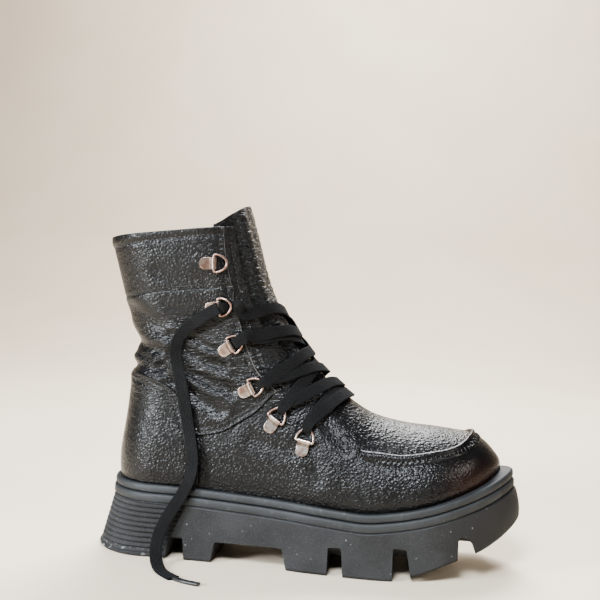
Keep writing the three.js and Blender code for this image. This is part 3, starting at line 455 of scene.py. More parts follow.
# Meshes
@dataclass
class Sheet:
    """A mesh in the making: points in millimetres, with faces of three or four."""

    points: Array
    faces: Array

    def normals(self) -> Array:
        """Find the directions out of the mesh.

        Returns:
            A direction for each point.
        """
        total = np.zeros_like(self.points)
        corners = [self.points[self.faces[:, k]] for k in (0, 1, -1)]
        across = np.cross(corners[1] - corners[0], corners[2] - corners[0])
        for k in range(self.faces.shape[1]):
            np.add.at(total, self.faces[:, k], across)
        return unit(total)


def grid_faces(rows: int, columns: int, closed: bool = False) -> Array:
    """Faces between rows of points.

    Args:
        rows: How many rows there are.
        columns: How many points a row has.
        closed: Whether each row closes on itself.

    Returns:
        Four corners for each face.
    """
    low = np.arange(rows - 1)[:, None] * columns
    here = np.arange(columns if closed else columns - 1)[None, :]
    ahead = (here + 1) % columns
    corners = [low + here, low + ahead, low + columns + ahead, low + columns + here]
    return np.stack([corner.ravel() for corner in corners], axis=1)


def halved(faces: Array) -> Array:
    """Faces of four corners as pairs of triangles."""
    return np.vstack([faces[:, [0, 1, 2]], faces[:, [0, 2, 3]]])


def open_edges(faces: Array) -> Array:
    """Find the edges that only one face has.

    Args:
        faces: The faces.

    Returns:
        The two points of each edge, in its face's direction.
    """
    count = faces.shape[1]
    edges = np.vstack([faces[:, [k, (k + 1) % count]] for k in range(count)])
    size = int(faces.max()) + 1
    keys = edges[:, 0].astype(np.int64) * size + edges[:, 1]
    back = edges[:, 1].astype(np.int64) * size + edges[:, 0]
    return edges[~np.isin(keys, back)]


def patch(
    rows: Array, laps: Array, keep: Callable[[Array], Array], closed: bool = False
) -> tuple[Array, Array]:
    """Lay triangles over rows and laps and cut them along the line where a measure
    passes 0. Points next to the line move onto it, so the cut is smooth.

    Args:
        rows: The rows.
        laps: The laps.
        keep: The measure, above 0 where the leather stays.
        closed: Whether each row closes on itself.

    Returns:
        The places that are left, and the triangles between them.
    """
    places = np.stack(np.meshgrid(rows, laps, indexing="ij"), axis=-1).reshape(-1, 2)
    faces = halved(grid_faces(len(rows), len(laps), closed))
    value = keep(places)
    value = np.where(np.abs(value) < 1e-6, 1e-6, value)
    edges = np.vstack([faces[:, [0, 1]], faces[:, [1, 2]], faces[:, [2, 0]]])
    edges = np.unique(np.sort(edges, axis=1), axis=0)
    a, b = edges[value[edges[:, 0]] * value[edges[:, 1]] < 0].T
    share = value[a] / (value[a] - value[b])
    near = np.where(share < 0.5, a, b)
    far = np.where(share < 0.5, b, a)
    step = np.where(share < 0.5, share, 1 - share)
    order = np.argsort(-step)
    moved = places.copy()
    moved[near[order]] = mix(places[near], places[far], step[:, None])[order]
    flat = value.copy()
    flat[near] = 0
    centre = places[faces].mean(axis=1)
    corners = flat[faces]
    whole = (corners >= 0).all(axis=1)
    held = whole & ((corners > 0).any(axis=1) | (keep(centre) > 0))
    left = faces[held]
    used, packed = np.unique(left, return_inverse=True)
    return moved[used], packed.reshape(-1, 3)


def skirted(sheet: Sheet, steps: Sequence[tuple[float, float]]) -> tuple[Sheet, Array]:
    """Turn a sheet's open edges over and down.

    Args:
        sheet: The sheet.
        steps: For each new row of points, how far out and how far down it lies.

    Returns:
        The sheet with its edges, and which of its faces are edges.
    """
    edges = open_edges(sheet.faces)
    normals = sheet.normals()
    rim = np.unique(edges)
    number = {int(point): i for i, point in enumerate(rim)}
    out = np.zeros((len(rim), 3))
    across = np.cross(unit(sheet.points[edges[:, 1]] - sheet.points[edges[:, 0]]), normals[edges[:, 0]])
    start = np.array([number[int(p)] for p in edges[:, 0]])
    end = np.array([number[int(p)] for p in edges[:, 1]])
    np.add.at(out, start, across)
    np.add.at(out, end, across)
    out = unit(out)
    points, faces = [sheet.points], []
    low_start, low_end = edges[:, 0], edges[:, 1]
    base = len(sheet.points)
    for reach, down in steps:
        points.append(sheet.points[rim] + out * reach - normals[rim] * down)
        faces.append(np.stack([low_end, low_start, base + start, base + end], axis=1))
        low_start, low_end = base + start, base + end
        base += len(rim)
    turned = np.vstack(faces)
    if sheet.faces.shape[1] == 3:
        turned = halved(turned)
    whole = np.vstack([sheet.faces, turned])
    is_edge = np.arange(len(whole)) >= len(sheet.faces)
    return Sheet(np.vstack(points), whole), is_edge


def make_piece(
    name: str,
    sheet: Sheet,
    finishes: Sequence[bpy.types.Material],
    marks: Array | None = None,
    body: str = "boot",
    stands_for: Sequence[str] = (),
    sharp: float = 0,
    cloth: Array | None = None,
) -> bpy.types.Object:
    """Make a Blender object that rides on a body.

    Args:
        name: The piece's name.
        sheet: Its mesh, in millimetres.
        finishes: Its materials.
        marks: The number of each face's material, all 0 if left out.
        body: The body that it rides on.
        stands_for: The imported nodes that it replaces.
        sharp: The angle in degrees past which an edge stays sharp, or 0.
        cloth: Each point's place across and along a woven band, in millimetres.

    Returns:
        The object.
    """
    mesh = bpy.data.meshes.new(name)
    mesh.from_pydata((sheet.points * MM).tolist(), [], sheet.faces.tolist())
    if cloth is not None:
        layer = mesh.uv_layers.new(name="weave")
        loops = np.zeros(len(mesh.loops), np.int32)
        mesh.loops.foreach_get("vertex_index", loops)
        layer.data.foreach_set("uv", cloth[loops].ravel())
    for finish in finishes:
        mesh.materials.append(finish)
    if marks is not None:
        mesh.polygons.foreach_set("material_index", marks.astype(np.int32))
    mesh.polygons.foreach_set("use_smooth", np.ones(len(mesh.polygons), bool))
    mesh.validate()
    mesh.update()
    if sharp:
        mesh.set_sharp_from_angle(angle=math.radians(sharp))
    piece = bpy.data.objects.new(name, mesh)
    bpy.context.scene.collection.objects.link(piece)
    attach(piece, body)
    if stands_for:
        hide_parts(*stands_for)
    log.info("%s: %d points, %d faces", name, len(mesh.vertices), len(mesh.polygons))
    return piece


def joined(sheets: Sequence[Sheet]) -> Sheet:
    """Several meshes as one."""
    offsets = np.cumsum([0] + [len(sheet.points) for sheet in sheets[:-1]])
    faces = [sheet.faces + offset for sheet, offset in zip(sheets, offsets)]
    return Sheet(np.vstack([sheet.points for sheet in sheets]), np.vstack(faces))


def closed_grid(loops: Array) -> Sheet:
    """A closed form through rows of points, each closing on itself. Its ends are closed
    by strips across from one side to the other.

    Args:
        loops: The rows, as rows by points by coordinates, with an even point count.

    Returns:
        The form.
    """
    rows, count = loops.shape[:2]
    half = count // 2
    i = np.arange(half)
    j = (count - i) % count
    k = count - i - 1
    top = (rows - 1) * count
    cap = np.stack([top + i, top + i + 1, top + k, top + j], axis=1)
    foot = np.stack([j, k, i + 1, i], axis=1)
    faces = np.vstack([grid_faces(rows, count, closed=True), cap, foot])
    return Sheet(loops.reshape(-1, 3), faces)


@dataclass(frozen=True)
class Thread:
    """A row of stitches, as small rounded lengths of thread."""

    length: float = 2.3
    gap: float = 1.0
    width: float = 0.72
    stand: float = 0.28

    def row(self, line: Array, outs: Array) -> Sheet:
        """Lay stitches along a line on the leather.

        Args:
            line: The line's points, in millimetres.
            outs: The directions out of the leather along it.

        Returns:
            The stitches' mesh.
        """
        lengths = runs(line)
        pitch = self.length + self.gap
        starts = np.arange(self.gap / 2, lengths[-1] - self.length, pitch)
        first = picked(line, lengths, starts)
        last = picked(line, lengths, starts + self.length)
        return self.lay(first, last, unit(picked(outs, lengths, starts + self.length / 2)))

    def lay(self, first: Array, last: Array, out: Array) -> Sheet:
        """Stitches between given points.

        Args:
            first: Where each stitch starts.
            last: Where it ends.
            out: The direction out of the leather at each.

        Returns:
            The stitches' mesh.
        """
        ahead = last - first
        across = unit(np.cross(unit(ahead), out))
        profile = ((0.0, 0.3), (0.12, 0.85), (0.5, 1.0), (0.88, 0.85), (1.0, 0.3))
        sides = 6
        rings = []
        for along, girth in profile:
            sink = self.stand * (1 - girth) * 1.2
            centre = first + ahead * along + out * (self.stand * 0.35 - sink)
            for k in range(sides):
                angle = 2 * math.pi * k / sides
                rings.append(
                    centre
                    + across * (math.cos(angle) * girth * self.width / 2)
                    + out * (math.sin(angle) * girth * self.stand)
                )
        points = np.stack(rings, axis=1)
        count = points.shape[1]
        body = grid_faces(len(profile), sides, closed=True)
        end = (len(profile) - 1) * sides
        caps = [[2, 1, 0, 3], [5, 4, 3, 0], [end, end + 1, end + 2, end + 3],
                [end + 3, end + 4, end + 5, end]]
        faces = np.vstack([body, caps])
        shift = np.arange(len(first))[:, None, None] * count
        return Sheet(points.reshape(-1, 3), (faces[None] + shift).reshape(-1, 4))


# Finishes
Colour = tuple[float, float, float]


class Value:
    """A number that changes over the surface, as a socket that takes part in sums."""

    def __init__(self, finish: "Finish", socket: bpy.types.NodeSocket) -> None:
        """Keep the socket and the finish that it belongs to."""
        self.finish = finish
        self.socket = socket

    def __add__(self, other: Any) -> "Value":
        """This plus another."""
        return self.finish.maths("ADD", self, other)

    __radd__ = __add__

    def __mul__(self, other: Any) -> "Value":
        """This times another."""
        return self.finish.maths("MULTIPLY", self, other)

    __rmul__ = __mul__

    def __sub__(self, other: Any) -> "Value":
        """This less another."""
        return self.finish.maths("SUBTRACT", self, other)

    def __rsub__(self, other: Any) -> "Value":
        """Another less this."""
        return self.finish.maths("SUBTRACT", other, self)

    def step(self, low: float, high: float) -> "Value":
        """A smooth step over this value.

        Args:
            low: Where it begins to rise from 0.
            high: Where it reaches 1.

        Returns:
            The step.
        """
        settings = {"interpolation_type": "SMOOTHSTEP"}
        node = self.finish.node(
            "ShaderNodeMapRange", settings, {"Value": self, "From Min": low, "From Max": high}
        )
        return Value(self.finish, node.outputs["Result"])


class Finish:
    """A material in the making, measured in millimetres of the boot's frame."""

    def __init__(self, name: str) -> None:
        """Start with an empty material.

        Args:
            name: The material's name.
        """
        self.material = bpy.data.materials.new(name)
        self.material.use_nodes = True
        self.tree = self.material.node_tree
        self.tree.nodes.clear()
        self.output = self.node("ShaderNodeOutputMaterial")
        coordinates = self.node("ShaderNodeTexCoord")
        self.woven = coordinates.outputs["UV"]
        self.place = self.vector("SCALE", coordinates.outputs["Object"], Scale=1000.0)

    def node(
        self,
        kind: str,
        settings: Mapping[str, Any] | None = None,
        inputs: Mapping[Any, Any] | None = None,
    ) -> bpy.types.Node:
        """Add a node.

        Args:
            kind: The node's type.
            settings: Its own settings, which are set first.
            inputs: A number, colour, socket or Value for each of its sockets.

        Returns:
            The node.
        """
        made = self.tree.nodes.new(kind)
        for key, setting in (settings or {}).items():
            setattr(made, key, setting)
        for key, value in (inputs or {}).items():
            self.feed(made.inputs[key], value)
        return made

    def feed(self, socket: bpy.types.NodeSocket, value: Any) -> None:
        """Set a socket, or link it.

        Args:
            socket: The socket.
            value: A number, colour, socket or Value.
        """
        source = value.socket if isinstance(value, Value) else value
        if isinstance(source, bpy.types.NodeSocket):
            self.tree.links.new(source, socket)
        elif isinstance(source, tuple) and len(source) == 3 and socket.type == "RGBA":
            socket.default_value = (*source, 1.0)
        else:
            socket.default_value = source

    def maths(self, operation: str, *values: Any) -> Value:
        """One Math node over numbers and values."""
        node = self.node("ShaderNodeMath", {"operation": operation}, dict(enumerate(values)))
        return Value(self, node.outputs[0])

    def vector(self, operation: str, *values: Any, **named: Any) -> bpy.types.NodeSocket:
        """One Vector Math node."""
        inputs = {**dict(enumerate(values)), **named}
        node = self.node("ShaderNodeVectorMath", {"operation": operation}, inputs)
        return node.outputs[0]

    def axis(self, letter: str, place: Any = None) -> Value:
        """One coordinate of a place, which is the surface's own if left out."""
        node = self.node("ShaderNodeSeparateXYZ", None, {0: place or self.place})
        return Value(self, node.outputs[letter])

    def noise(self, size: float, detail: float = 3, place: Any = None) -> Value:
        """Cloudy noise from 0 to 1.

        Args:
            size: The size of its lumps, in millimetres.
            detail: How many finer layers it has.
            place: Where it is read, the surface's own place if left out.

        Returns:
            The noise.
        """
        inputs = {"Vector": place or self.place, "Scale": 1 / size, "Detail": detail}
        return Value(self, self.node("ShaderNodeTexNoise", None, inputs).outputs[0])

    def drift(self, size: float, reach: float) -> bpy.types.NodeSocket:
        """The surface's place pushed about by noise, so that no pattern on it is regular.

        Args:
            size: How far apart the pushes change, in millimetres.
            reach: How far they go.

        Returns:
            The pushed place.
        """
        inputs = {"Vector": self.place, "Scale": 1 / size, "Detail": 2.0}
        node = self.node("ShaderNodeTexNoise", None, inputs)
        centred = self.vector("SUBTRACT", node.outputs["Color"], (0.5, 0.5, 0.5))
        return self.vector("ADD", self.place, self.vector("SCALE", centred, Scale=reach * 2))

    def cells(self, size: float, place: Any, seams: bool = True) -> Value:
        """Distances inside cells.

        Args:
            size: The cells' size, in millimetres.
            place: Where they are read.
            seams: Whether distances are from the cells' seams and not from their middles.

        Returns:
            The distances, as shares of the size.
        """
        settings = {"feature": "DISTANCE_TO_EDGE" if seams else "F1"}
        node = self.node("ShaderNodeTexVoronoi", settings, {"Vector": place, "Scale": 1 / size})
        return Value(self, node.outputs["Distance"])

    def grains(self, size: float, place: Any) -> Value:
        """Rounded grains of a size, with fine creases between them."""
        domes = 1 - self.cells(size, place, seams=False).step(0.05, 0.72)
        return domes * 0.86 + self.cells(size, place).step(0.0, 0.16) * 0.14

    def stretched(self, place: Any, turn: float, scale: tuple[float, float, float]) -> Any:
        """A place turned about Y by degrees and then scaled along each axis."""
        inputs = {"Vector": place, "Rotation": (0.0, math.radians(turn), 0.0), "Scale": scale}
        return self.node("ShaderNodeMapping", None, inputs).outputs[0]

    def tint(self, mask: Any, low: Any, high: Any) -> bpy.types.NodeSocket:
        """A colour between two others, at the share that the mask gives."""
        node = self.node("ShaderNodeMix", {"data_type": "RGBA"}, {0: mask, 6: low, 7: high})
        return node.outputs[2]

    def bump(self, height: Value, distance: float) -> Any:
        """A surface that stands up by a height times a distance in millimetres."""
        inputs = {"Height": height, "Distance": distance * MM, "Strength": 1.0}
        return self.node("ShaderNodeBump", None, inputs).outputs["Normal"]

    def shade(self, **inputs: Any) -> bpy.types.Material:
        """Close the material with a surface.

        Args:
            inputs: The surface's sockets, with _ for each space in their names.

        Returns:
            The finished material.
        """
        named = {key.replace("_", " "): value for key, value in inputs.items()}
        surface = self.node("ShaderNodeBsdfPrincipled", None, named)
        self.tree.links.new(surface.outputs[0], self.output.inputs["Surface"])
        return self.material


@dataclass(frozen=True)
class GrainedLeather:
    """Black pebbled leather: rounded grains between fine creases, pulled long round the
    ankle and pressed smooth over the toe and the heel."""

    name: str = "grained_leather"
    pebble: float = 2.15
    tone: Colour = (0.0042, 0.0042, 0.0046)
    crest: Colour = (0.0082, 0.0084, 0.009)
    # Painted reflection: a warm reddish sheen painted onto the lower front of the toe.
    painted_sheen: Colour = (0.024, 0.0085, 0.006)
    height: float = 0.29

    def material(self) -> bpy.types.Material:
        """Make the leather.

        Returns:
            Its material.
        """
        skin = Finish(self.name)
        x, z = skin.axis("X"), skin.axis("Z")
        ankle = skin.maths("MULTIPLY", z.step(92, 118), 1 - z.step(158, 186))
        place = skin.drift(3.2, 0.6)
        pulled = skin.stretched(place, 28, (0.62, 0.8, 1.45))
        round_grain, long_grain = skin.grains(self.pebble, place), skin.grains(self.pebble, pulled)
        grain = round_grain * (1 - ankle) + long_grain * ankle
        fine = 1 - skin.cells(self.pebble * 0.45, skin.drift(1.1, 0.3), seams=False).step(0, 0.7)
        toe = x.step(196, 236) * (1 - z.step(84, 96))
        heel = (1 - x.step(-14, 14)) * (1 - z.step(90, 124))
        pressed = 1 - 0.62 * toe - 0.5 * heel
        wrinkle_place = skin.stretched(skin.drift(9, 2.4), 24, (0.22, 0.3, 1.0))
        wrinkles = skin.noise(3.4, 3, wrinkle_place).step(0.42, 0.62) * ankle
        cloud = skin.noise(26, 4)
        pores = skin.noise(0.22, 2)
        height = grain * pressed + fine * 0.22 * pressed + wrinkles * 0.9 + pores * 0.06
        patch = cloud.step(0.36, 0.66)
        base = skin.tint(grain * pressed * 0.8 + patch * 0.2, self.tone, self.crest)
        # Painted reflection: the lower front of the toe is tinted towards a warm reddish sheen.
        painted_sheen_mask = x.step(206, 240) * (1 - z.step(62, 84))
        base = skin.tint(painted_sheen_mask * 0.75, base, self.painted_sheen)
        roughness = 0.31 - grain * 0.08 + patch * 0.06 + pores * 0.05 - (toe + heel) * 0.04
        return skin.shade(
            Base_Color=base,
            Roughness=roughness,
            Specular_IOR_Level=0.32,
            Normal=skin.bump(height, self.height),
        )


@dataclass(frozen=True)
class ShrunkLeather:
    """The tongue's leather: soft and drawn into short cross wrinkles."""

    name: str = "tongue_leather"
    tone: Colour = (0.0045, 0.0045, 0.0048)
    crest: Colour = (0.0095, 0.0094, 0.0096)
    height: float = 0.6

    def material(self) -> bpy.types.Material:
        """Make the leather.

        Returns:
            Its material.
        """
        skin = Finish(self.name)
        drawn = skin.stretched(skin.drift(6, 1.8), -14, (0.5, 0.34, 1.25))
        wrinkle = skin.cells(3.4, drawn).step(0.02, 0.34)
        small = skin.cells(1.5, skin.stretched(skin.drift(2, 0.6), -14, (0.8, 0.7, 1.2)))
        grain = small.step(0.02, 0.3)
        cloud = skin.noise(14, 3)
        pores = skin.noise(0.25, 2)
        height = wrinkle + grain * 0.4 + pores * 0.05
        base = skin.tint(wrinkle * 0.7 + grain * 0.3, self.tone, self.crest)
        return skin.shade(
            Base_Color=base,
            Roughness=0.42 - wrinkle * 0.1 + cloud.step(0.3, 0.7) * 0.08,
            Specular_IOR_Level=0.32,
            Normal=skin.bump(height, self.height),
        )


@dataclass(frozen=True)
class RawEdge:
    """The cut edge of a piece of leather, with its fibres."""

    name: str = "raw_edge"
    tone: Colour = (0.05, 0.047, 0.045)
    fibre: Colour = (0.16, 0.152, 0.145)

    def material(self) -> bpy.types.Material:
        """Make the edge.

        Returns:
            Its material.
        """
        cut = Finish(self.name)
        fibres = cut.noise(0.5, 4)
        rubbed = cut.noise(7, 3)
        mask = fibres.step(0.3, 0.7) * 0.6 + rubbed.step(0.35, 0.65) * 0.4
        base = cut.tint(mask, self.tone, self.fibre)
        return cut.shade(
            Base_Color=base, Roughness=0.8 - fibres * 0.1, Normal=cut.bump(fibres, 0.2)
        )


@dataclass(frozen=True)
class SoleRubber:
    """Charcoal rubber. The side wall is stippled and holds pale specks, the toe's wall is
    smoother and the heel's foot is scuffed."""

    name: str = "sole_rubber"
    tone: Colour = (0.030, 0.0312, 0.0325)
    dark: Colour = (0.019, 0.019, 0.0198)
    speck: Colour = (0.15, 0.152, 0.15)
    scuff: Colour = (0.42, 0.42, 0.41)
    stipple: float = 0.16

    def material(self) -> bpy.types.Material:
        """Make the rubber.

        Returns:
            Its material.
        """
        rubber = Finish(self.name)
        x, z = rubber.axis("X"), rubber.axis("Z")
        toe = x.step(214, 228)
        coarse = rubber.noise(0.7, 3)
        bumps = rubber.cells(0.8, rubber.drift(1.5, 0.4), seams=False)
        cloud = rubber.noise(34, 5)
        specks = (1 - rubber.cells(2.1, rubber.drift(3, 1), seams=False).step(0.06, 0.16)) * (1 - toe)
        chips = 1 - rubber.cells(7.5, rubber.drift(5, 2), seams=False).step(0.05, 0.085)
        low = 1 - z.step(1.5, 7.5)
        worn = rubber.noise(3.2, 5).step(0.56, 0.7) * low * (1 - x.step(-12, 30))
        base = rubber.tint(cloud.step(0.34, 0.68), self.tone, self.dark)
        base = rubber.tint(coarse.step(0.45, 0.75) * (1 - toe) * 0.15, base, self.speck)
        base = rubber.tint(toe * 0.7, base, self.dark)
        base = rubber.tint(specks * 0.26, base, self.speck)
        base = rubber.tint(chips * 0.3, base, self.scuff)
        base = rubber.tint(worn * 0.85, base, self.scuff)
        height = (coarse * 0.9 + bumps * 0.6) * (1 - toe * 0.75)
        roughness = 0.66 + coarse * 0.12 - toe * 0.12 + cloud * 0.06
        return rubber.shade(
            Base_Color=base,
            Roughness=roughness,
            Specular_IOR_Level=0.3,
            Normal=rubber.bump(height, self.stipple * 2),
        )


@dataclass(frozen=True)
class RimRubber:
    """The smooth matt rubber of the welt and of the sole's upper rim."""

    name: str = "rim_rubber"
    tone: Colour = (0.026, 0.029, 0.032)
    dark: Colour = (0.018, 0.020, 0.0218)
    dust: Colour = (0.11, 0.112, 0.11)

    def material(self) -> bpy.types.Material:
        """Make the rubber.

        Returns:
            Its material.
        """
        rubber = Finish(self.name)
        cloud = rubber.noise(22, 5)
        fine = rubber.noise(0.5, 3)
        grime = rubber.noise(2.6, 5).step(0.6, 0.76)
        base = rubber.tint(cloud.step(0.3, 0.7), self.tone, self.dark)
        base = rubber.tint(grime * 0.35, base, self.dust)
        return rubber.shade(
            Base_Color=base,
            Roughness=0.5 + cloud * 0.12 + fine * 0.08,
            Specular_IOR_Level=0.45,
            Normal=rubber.bump(fine, 0.08),
        )


@dataclass(frozen=True)
class LoopMetal:
    """Gunmetal that was tumbled smooth, with hairline scratches and a little tarnish."""

    name: str
    tone: Colour = (0.46, 0.42, 0.39)
    tarnish: Colour = (0.24, 0.155, 0.125)

    def material(self) -> bpy.types.Material:
        """Make the metal.

        Returns:
            Its material.
        """
        metal = Finish(self.name)
        cloud = metal.noise(5, 4)
        hair = metal.noise(0.5, 3, metal.stretched(metal.place, 35, (0.18, 1.0, 2.4)))
        base = metal.tint(cloud.step(0.4, 0.68), self.tone, self.tarnish)
        high = metal.axis("Z").step(98, 150)
        base = metal.tint(high * 0.5, base, self.tarnish)
        return metal.shade(
            Base_Color=base,
            Metallic=1.0,
            Roughness=0.24 + hair * 0.12 + cloud * 0.06,
            Normal=metal.bump(hair, 0.02),
        )


@dataclass(frozen=True)
class WovenCotton:
    """Black cotton woven as a flat lace, in lengthwise rows of slanted threads."""

    name: str = "lace_cotton"
    tone: Colour = (0.0042, 0.0043, 0.0046)
    thread: Colour = (0.017, 0.0172, 0.018)
    rows: float = 1.05
    pitch: float = 1.3

    def material(self) -> bpy.types.Material:
        """Make the cloth.

        Returns:
            Its material.
        """
        cloth = Finish(self.name)
        across, along = cloth.axis("X", cloth.woven), cloth.axis("Y", cloth.woven)
        turn = 2 * math.pi
        row_wave = cloth.maths("ABSOLUTE", cloth.maths("SINE", across * (math.pi / self.rows)))
        lean = cloth.maths("PINGPONG", across, self.rows)
        slant = cloth.maths("SINE", (along + lean * 1.1) * (turn / self.pitch))
        threads = slant * 0.5 + 0.5
        weave = row_wave * 0.7 + threads * 0.5 * row_wave
        fuzz = cloth.noise(0.35, 4)
        worn = cloth.noise(9, 4)
        mask = weave * 0.62 + fuzz.step(0.45, 0.8) * 0.3 + worn.step(0.4, 0.7) * 0.15
        base = cloth.tint(mask, self.tone, self.thread)
        return cloth.shade(
            Base_Color=base,
            Roughness=0.9 - weave * 0.1,
            Specular_IOR_Level=0.12,
            Sheen_Weight=0.03,
            Sheen_Roughness=0.5,
            Normal=cloth.bump(weave + fuzz * 0.35, 0.34),
        )


@dataclass(frozen=True)
class LiningLeather:
    """The smooth dark lining and the sock on the insole, rubbed by the foot."""

    name: str = "lining"
    tone: Colour = (0.020, 0.0195, 0.019)
    rubbed: Colour = (0.045, 0.042, 0.039)

    def material(self) -> bpy.types.Material:
        """Make the lining.

        Returns:
            Its material.
        """
        lining = Finish(self.name)
        cloud = lining.noise(18, 5)
        nap = lining.noise(0.4, 4)
        base = lining.tint(cloud.step(0.4, 0.7), self.tone, self.rubbed)
        height = lining.cells(0.8, lining.drift(2, 0.5)).step(0, 0.3)
        return lining.shade(
            Base_Color=base, Roughness=0.72 + nap * 0.12, Normal=lining.bump(height + nap, 0.1)
        )


@dataclass(frozen=True)
class PlainFinish:
    """A plain surface whose two tones run into each other with its tooth."""

    name: str
    tone: Colour
    other: Colour
    size: float
    spread: tuple[float, float]
    roughness: tuple[float, float]
    tooth: float = 0.1

    def material(self) -> bpy.types.Material:
        """Make the surface.

        Returns:
            Its material.
        """
        plain = Finish(self.name)
        lumps = plain.noise(self.size)
        base = plain.tint(lumps.step(*self.spread), self.tone, self.other)
        rough = lumps * self.roughness[1] + self.roughness[0]
        return plain.shade(Base_Color=base, Roughness=rough, Normal=plain.bump(lumps, self.tooth))


SEWING_THREAD = PlainFinish(
    "sewing_thread", (0.012, 0.012, 0.013), (0.036, 0.036, 0.038), 0.3, (0.3, 0.7), (0.5, 0.1), 0.12
)
DIPPED_TIP = PlainFinish(
    "lace_tip", (0.014, 0.014, 0.015), (0.04, 0.04, 0.042), 1.1, (0.35, 0.65), (0.26, 0.1)
)
PALE_FLOOR = PlainFinish(
    "pale_floor", (0.80, 0.70, 0.57), (0.77, 0.665, 0.53), 320, (0.3, 0.7), (0.62, 0.05), 0.0
)


# The leather
COUNTER_EDGE = (
    (0.245, 0.006), (0.241, 0.1), (0.224, 0.21), (0.2, 0.31), (0.174, 0.375), (0.138, 0.41),
    (0.09, 0.437), (0.04, 0.448),
)
VAMP_SEAM = (
    (0.241, 0.208), (0.295, 0.228), (0.336, 0.27), (0.376, 0.318), (0.407, 0.377), (0.42, 0.4),
)
QUARTER_FRONT = (
    (0.42, 0.4), (0.378, 0.465), (0.366, 0.495), (0.334, 0.625), (0.324, 0.68), (0.314, 0.715),
    (0.307, 0.78), (0.294, 0.875), (0.283, 0.965), (0.276, 1.06),
)
CUFF_SEAM = ((-0.1, 0.745), (0.05, 0.76), (0.124, 0.785), (0.207, 0.8), (0.31, 0.818))
COLLAR_STITCH = ((-60, 208), (-18, 213), (-6, 216), (11, 218.5), (36, 222), (56, 224))
RIDGE_ROWS = (
    (0.535, 0.59, 0.57), (0.575, 0.605, 0.545), (0.62, 0.625, 0.54), (0.67, 0.66, 0.537),
    (0.728, 0.665, 0.54), (0.786, 0.705, 0.575), (0.835, 0.765, 0.63), (0.862, 0.86, 0.675),
    (0.878, 0.97, 0.72), (0.893, 1, 0.8), (0.903, 1, 0.9),
)
RIDGE_TIPS = (0.882, 0.908)


@dataclass
class Skin:
    """The leather's surface as it hangs: the form with its folds."""

    form: BootForm
    gap: float = 0.45
    seam_gap: float = 0.6
    sway: float = 0.3
    stitch_depth: float = 0.5
    stitch_reach: float = 1.35
    collar_swell: float = 0.6
    sewn_lines: list[Array] = field(default_factory=list)
    facing: Curve | None = None

    @staticmethod
    def turn_of(lap: Array) -> Array:
        """The turn at a lap, which counts 0 at the back, 1 at the front and 2 at the back
        again, and goes slowly where the leather turns a corner."""
        wrapped = (np.asarray(lap) + 1) % 2 - 1
        return np.sign(wrapped) * (1 - np.cos(np.pi * np.abs(wrapped))) / 2

    def relief(self, points: Array) -> Array:
        """How far the folds lift the leather.

        Args:
            points: Points of the form.

        Returns:
            A height for each, below 0 in a trough.
        """
        x, y, z = points.T
        side = np.where(y < self.form.middle(x, z), Side.LATERAL.value, Side.MEDIAL.value)
        lift = self.sway * np.sin(x / 11.3 + z / 17.0) * np.sin(z / 13.1 - x / 29.0 + side)
        lift = lift * smooth((z - 84) / 30) * (1 - smooth((z - 214) / 12))
        for fold in FOLDS:
            away = distance_to(spline(fold.line, 6), points[:, [0, 2]])
            trough = bell(away / fold.width)
            shoulder = bell((away - 2.1 * fold.width) / (0.95 * fold.width))
            on = np.isin(side, [each.value for each in fold.sides])
            lift = lift + on * fold.depth * (0.65 * shoulder - 1.45 * trough)
        for line in self.sewn_lines:
            lift = lift - self.stitch_depth * bell(distance_to(line, points[:, [0, 2]]) / self.stitch_reach)
        if self.facing is not None:
            off = x - self.facing(z)
            shrunk = np.sin(z * 2 * math.pi / 3.4 + 1.3 * np.sin(z / 4.7) + 0.5 * np.sin(x / 2.1))
            lift = lift + 0.38 * shrunk * bell((off - 5.5) / 3.6) * smooth((z - 118) / 12)
        over = z - Curve(*np.array(COLLAR_STITCH, float).T)(x)
        return lift + self.collar_swell * bell((over - 4.2) / 2.6)

    def raised(self, places: Array, lift: Any) -> Array:
        """Points over the leather.

        Args:
            places: Rows and laps.
            lift: How far over the form they lie.

        Returns:
            The points, in millimetres.
        """
        row, turn = places[:, 0], self.turn_of(places[:, 1])
        base = self.form.surface(row, turn)
        height = np.asarray(lift) + self.relief(base)
        return base + self.form.normal(row, turn) * height[:, None]

    def at(self, places: Array) -> Array:
        """Points of the bare form at rows and laps."""
        return self.form.surface(places[:, 0], self.turn_of(places[:, 1]))

    def side_line(self, line: Array, side: Side, lift: float) -> tuple[Array, Array]:
        """A line seen from the side, laid over the folded leather.

        Args:
            line: Its points, x and z.
            side: The side that it lies on.
            lift: How far over the form it lies.

        Returns:
            Its points and the directions out of the leather.
        """
        points, outs = self.form.on_side(line, side)
        return points + outs * (lift + self.relief(points))[:, None], outs

    def collar_line(self, height: Curve, reach: float, lift: float) -> tuple[Array, Array]:
        """A line round the back of the shaft at a height that changes along the boot.

        Args:
            height: The height over the place along the boot.
            reach: How far along the boot it comes on each side.
            lift: How far over the form it lies.

        Returns:
            Its points and the directions out of the leather.
        """
        laps = np.linspace(-0.9, 0.9, 500)
        low, high = np.full(500, 8.0), np.full(500, COLLAR_ROW + 0.9)
        for _ in range(24):
            row = (low + high) / 2
            points = self.form.surface(row, self.turn_of(laps))
            under = points[:, 2] < height(points[:, 0])
            low, high = np.where(under, row, low), np.where(under, high, row)
        places = np.stack([(low + high) / 2, laps], axis=1)
        kept = places[self.at(places)[:, 0] < reach]
        outs = self.form.normal(kept[:, 0], self.turn_of(kept[:, 1]))
        return self.raised(kept, lift), outs


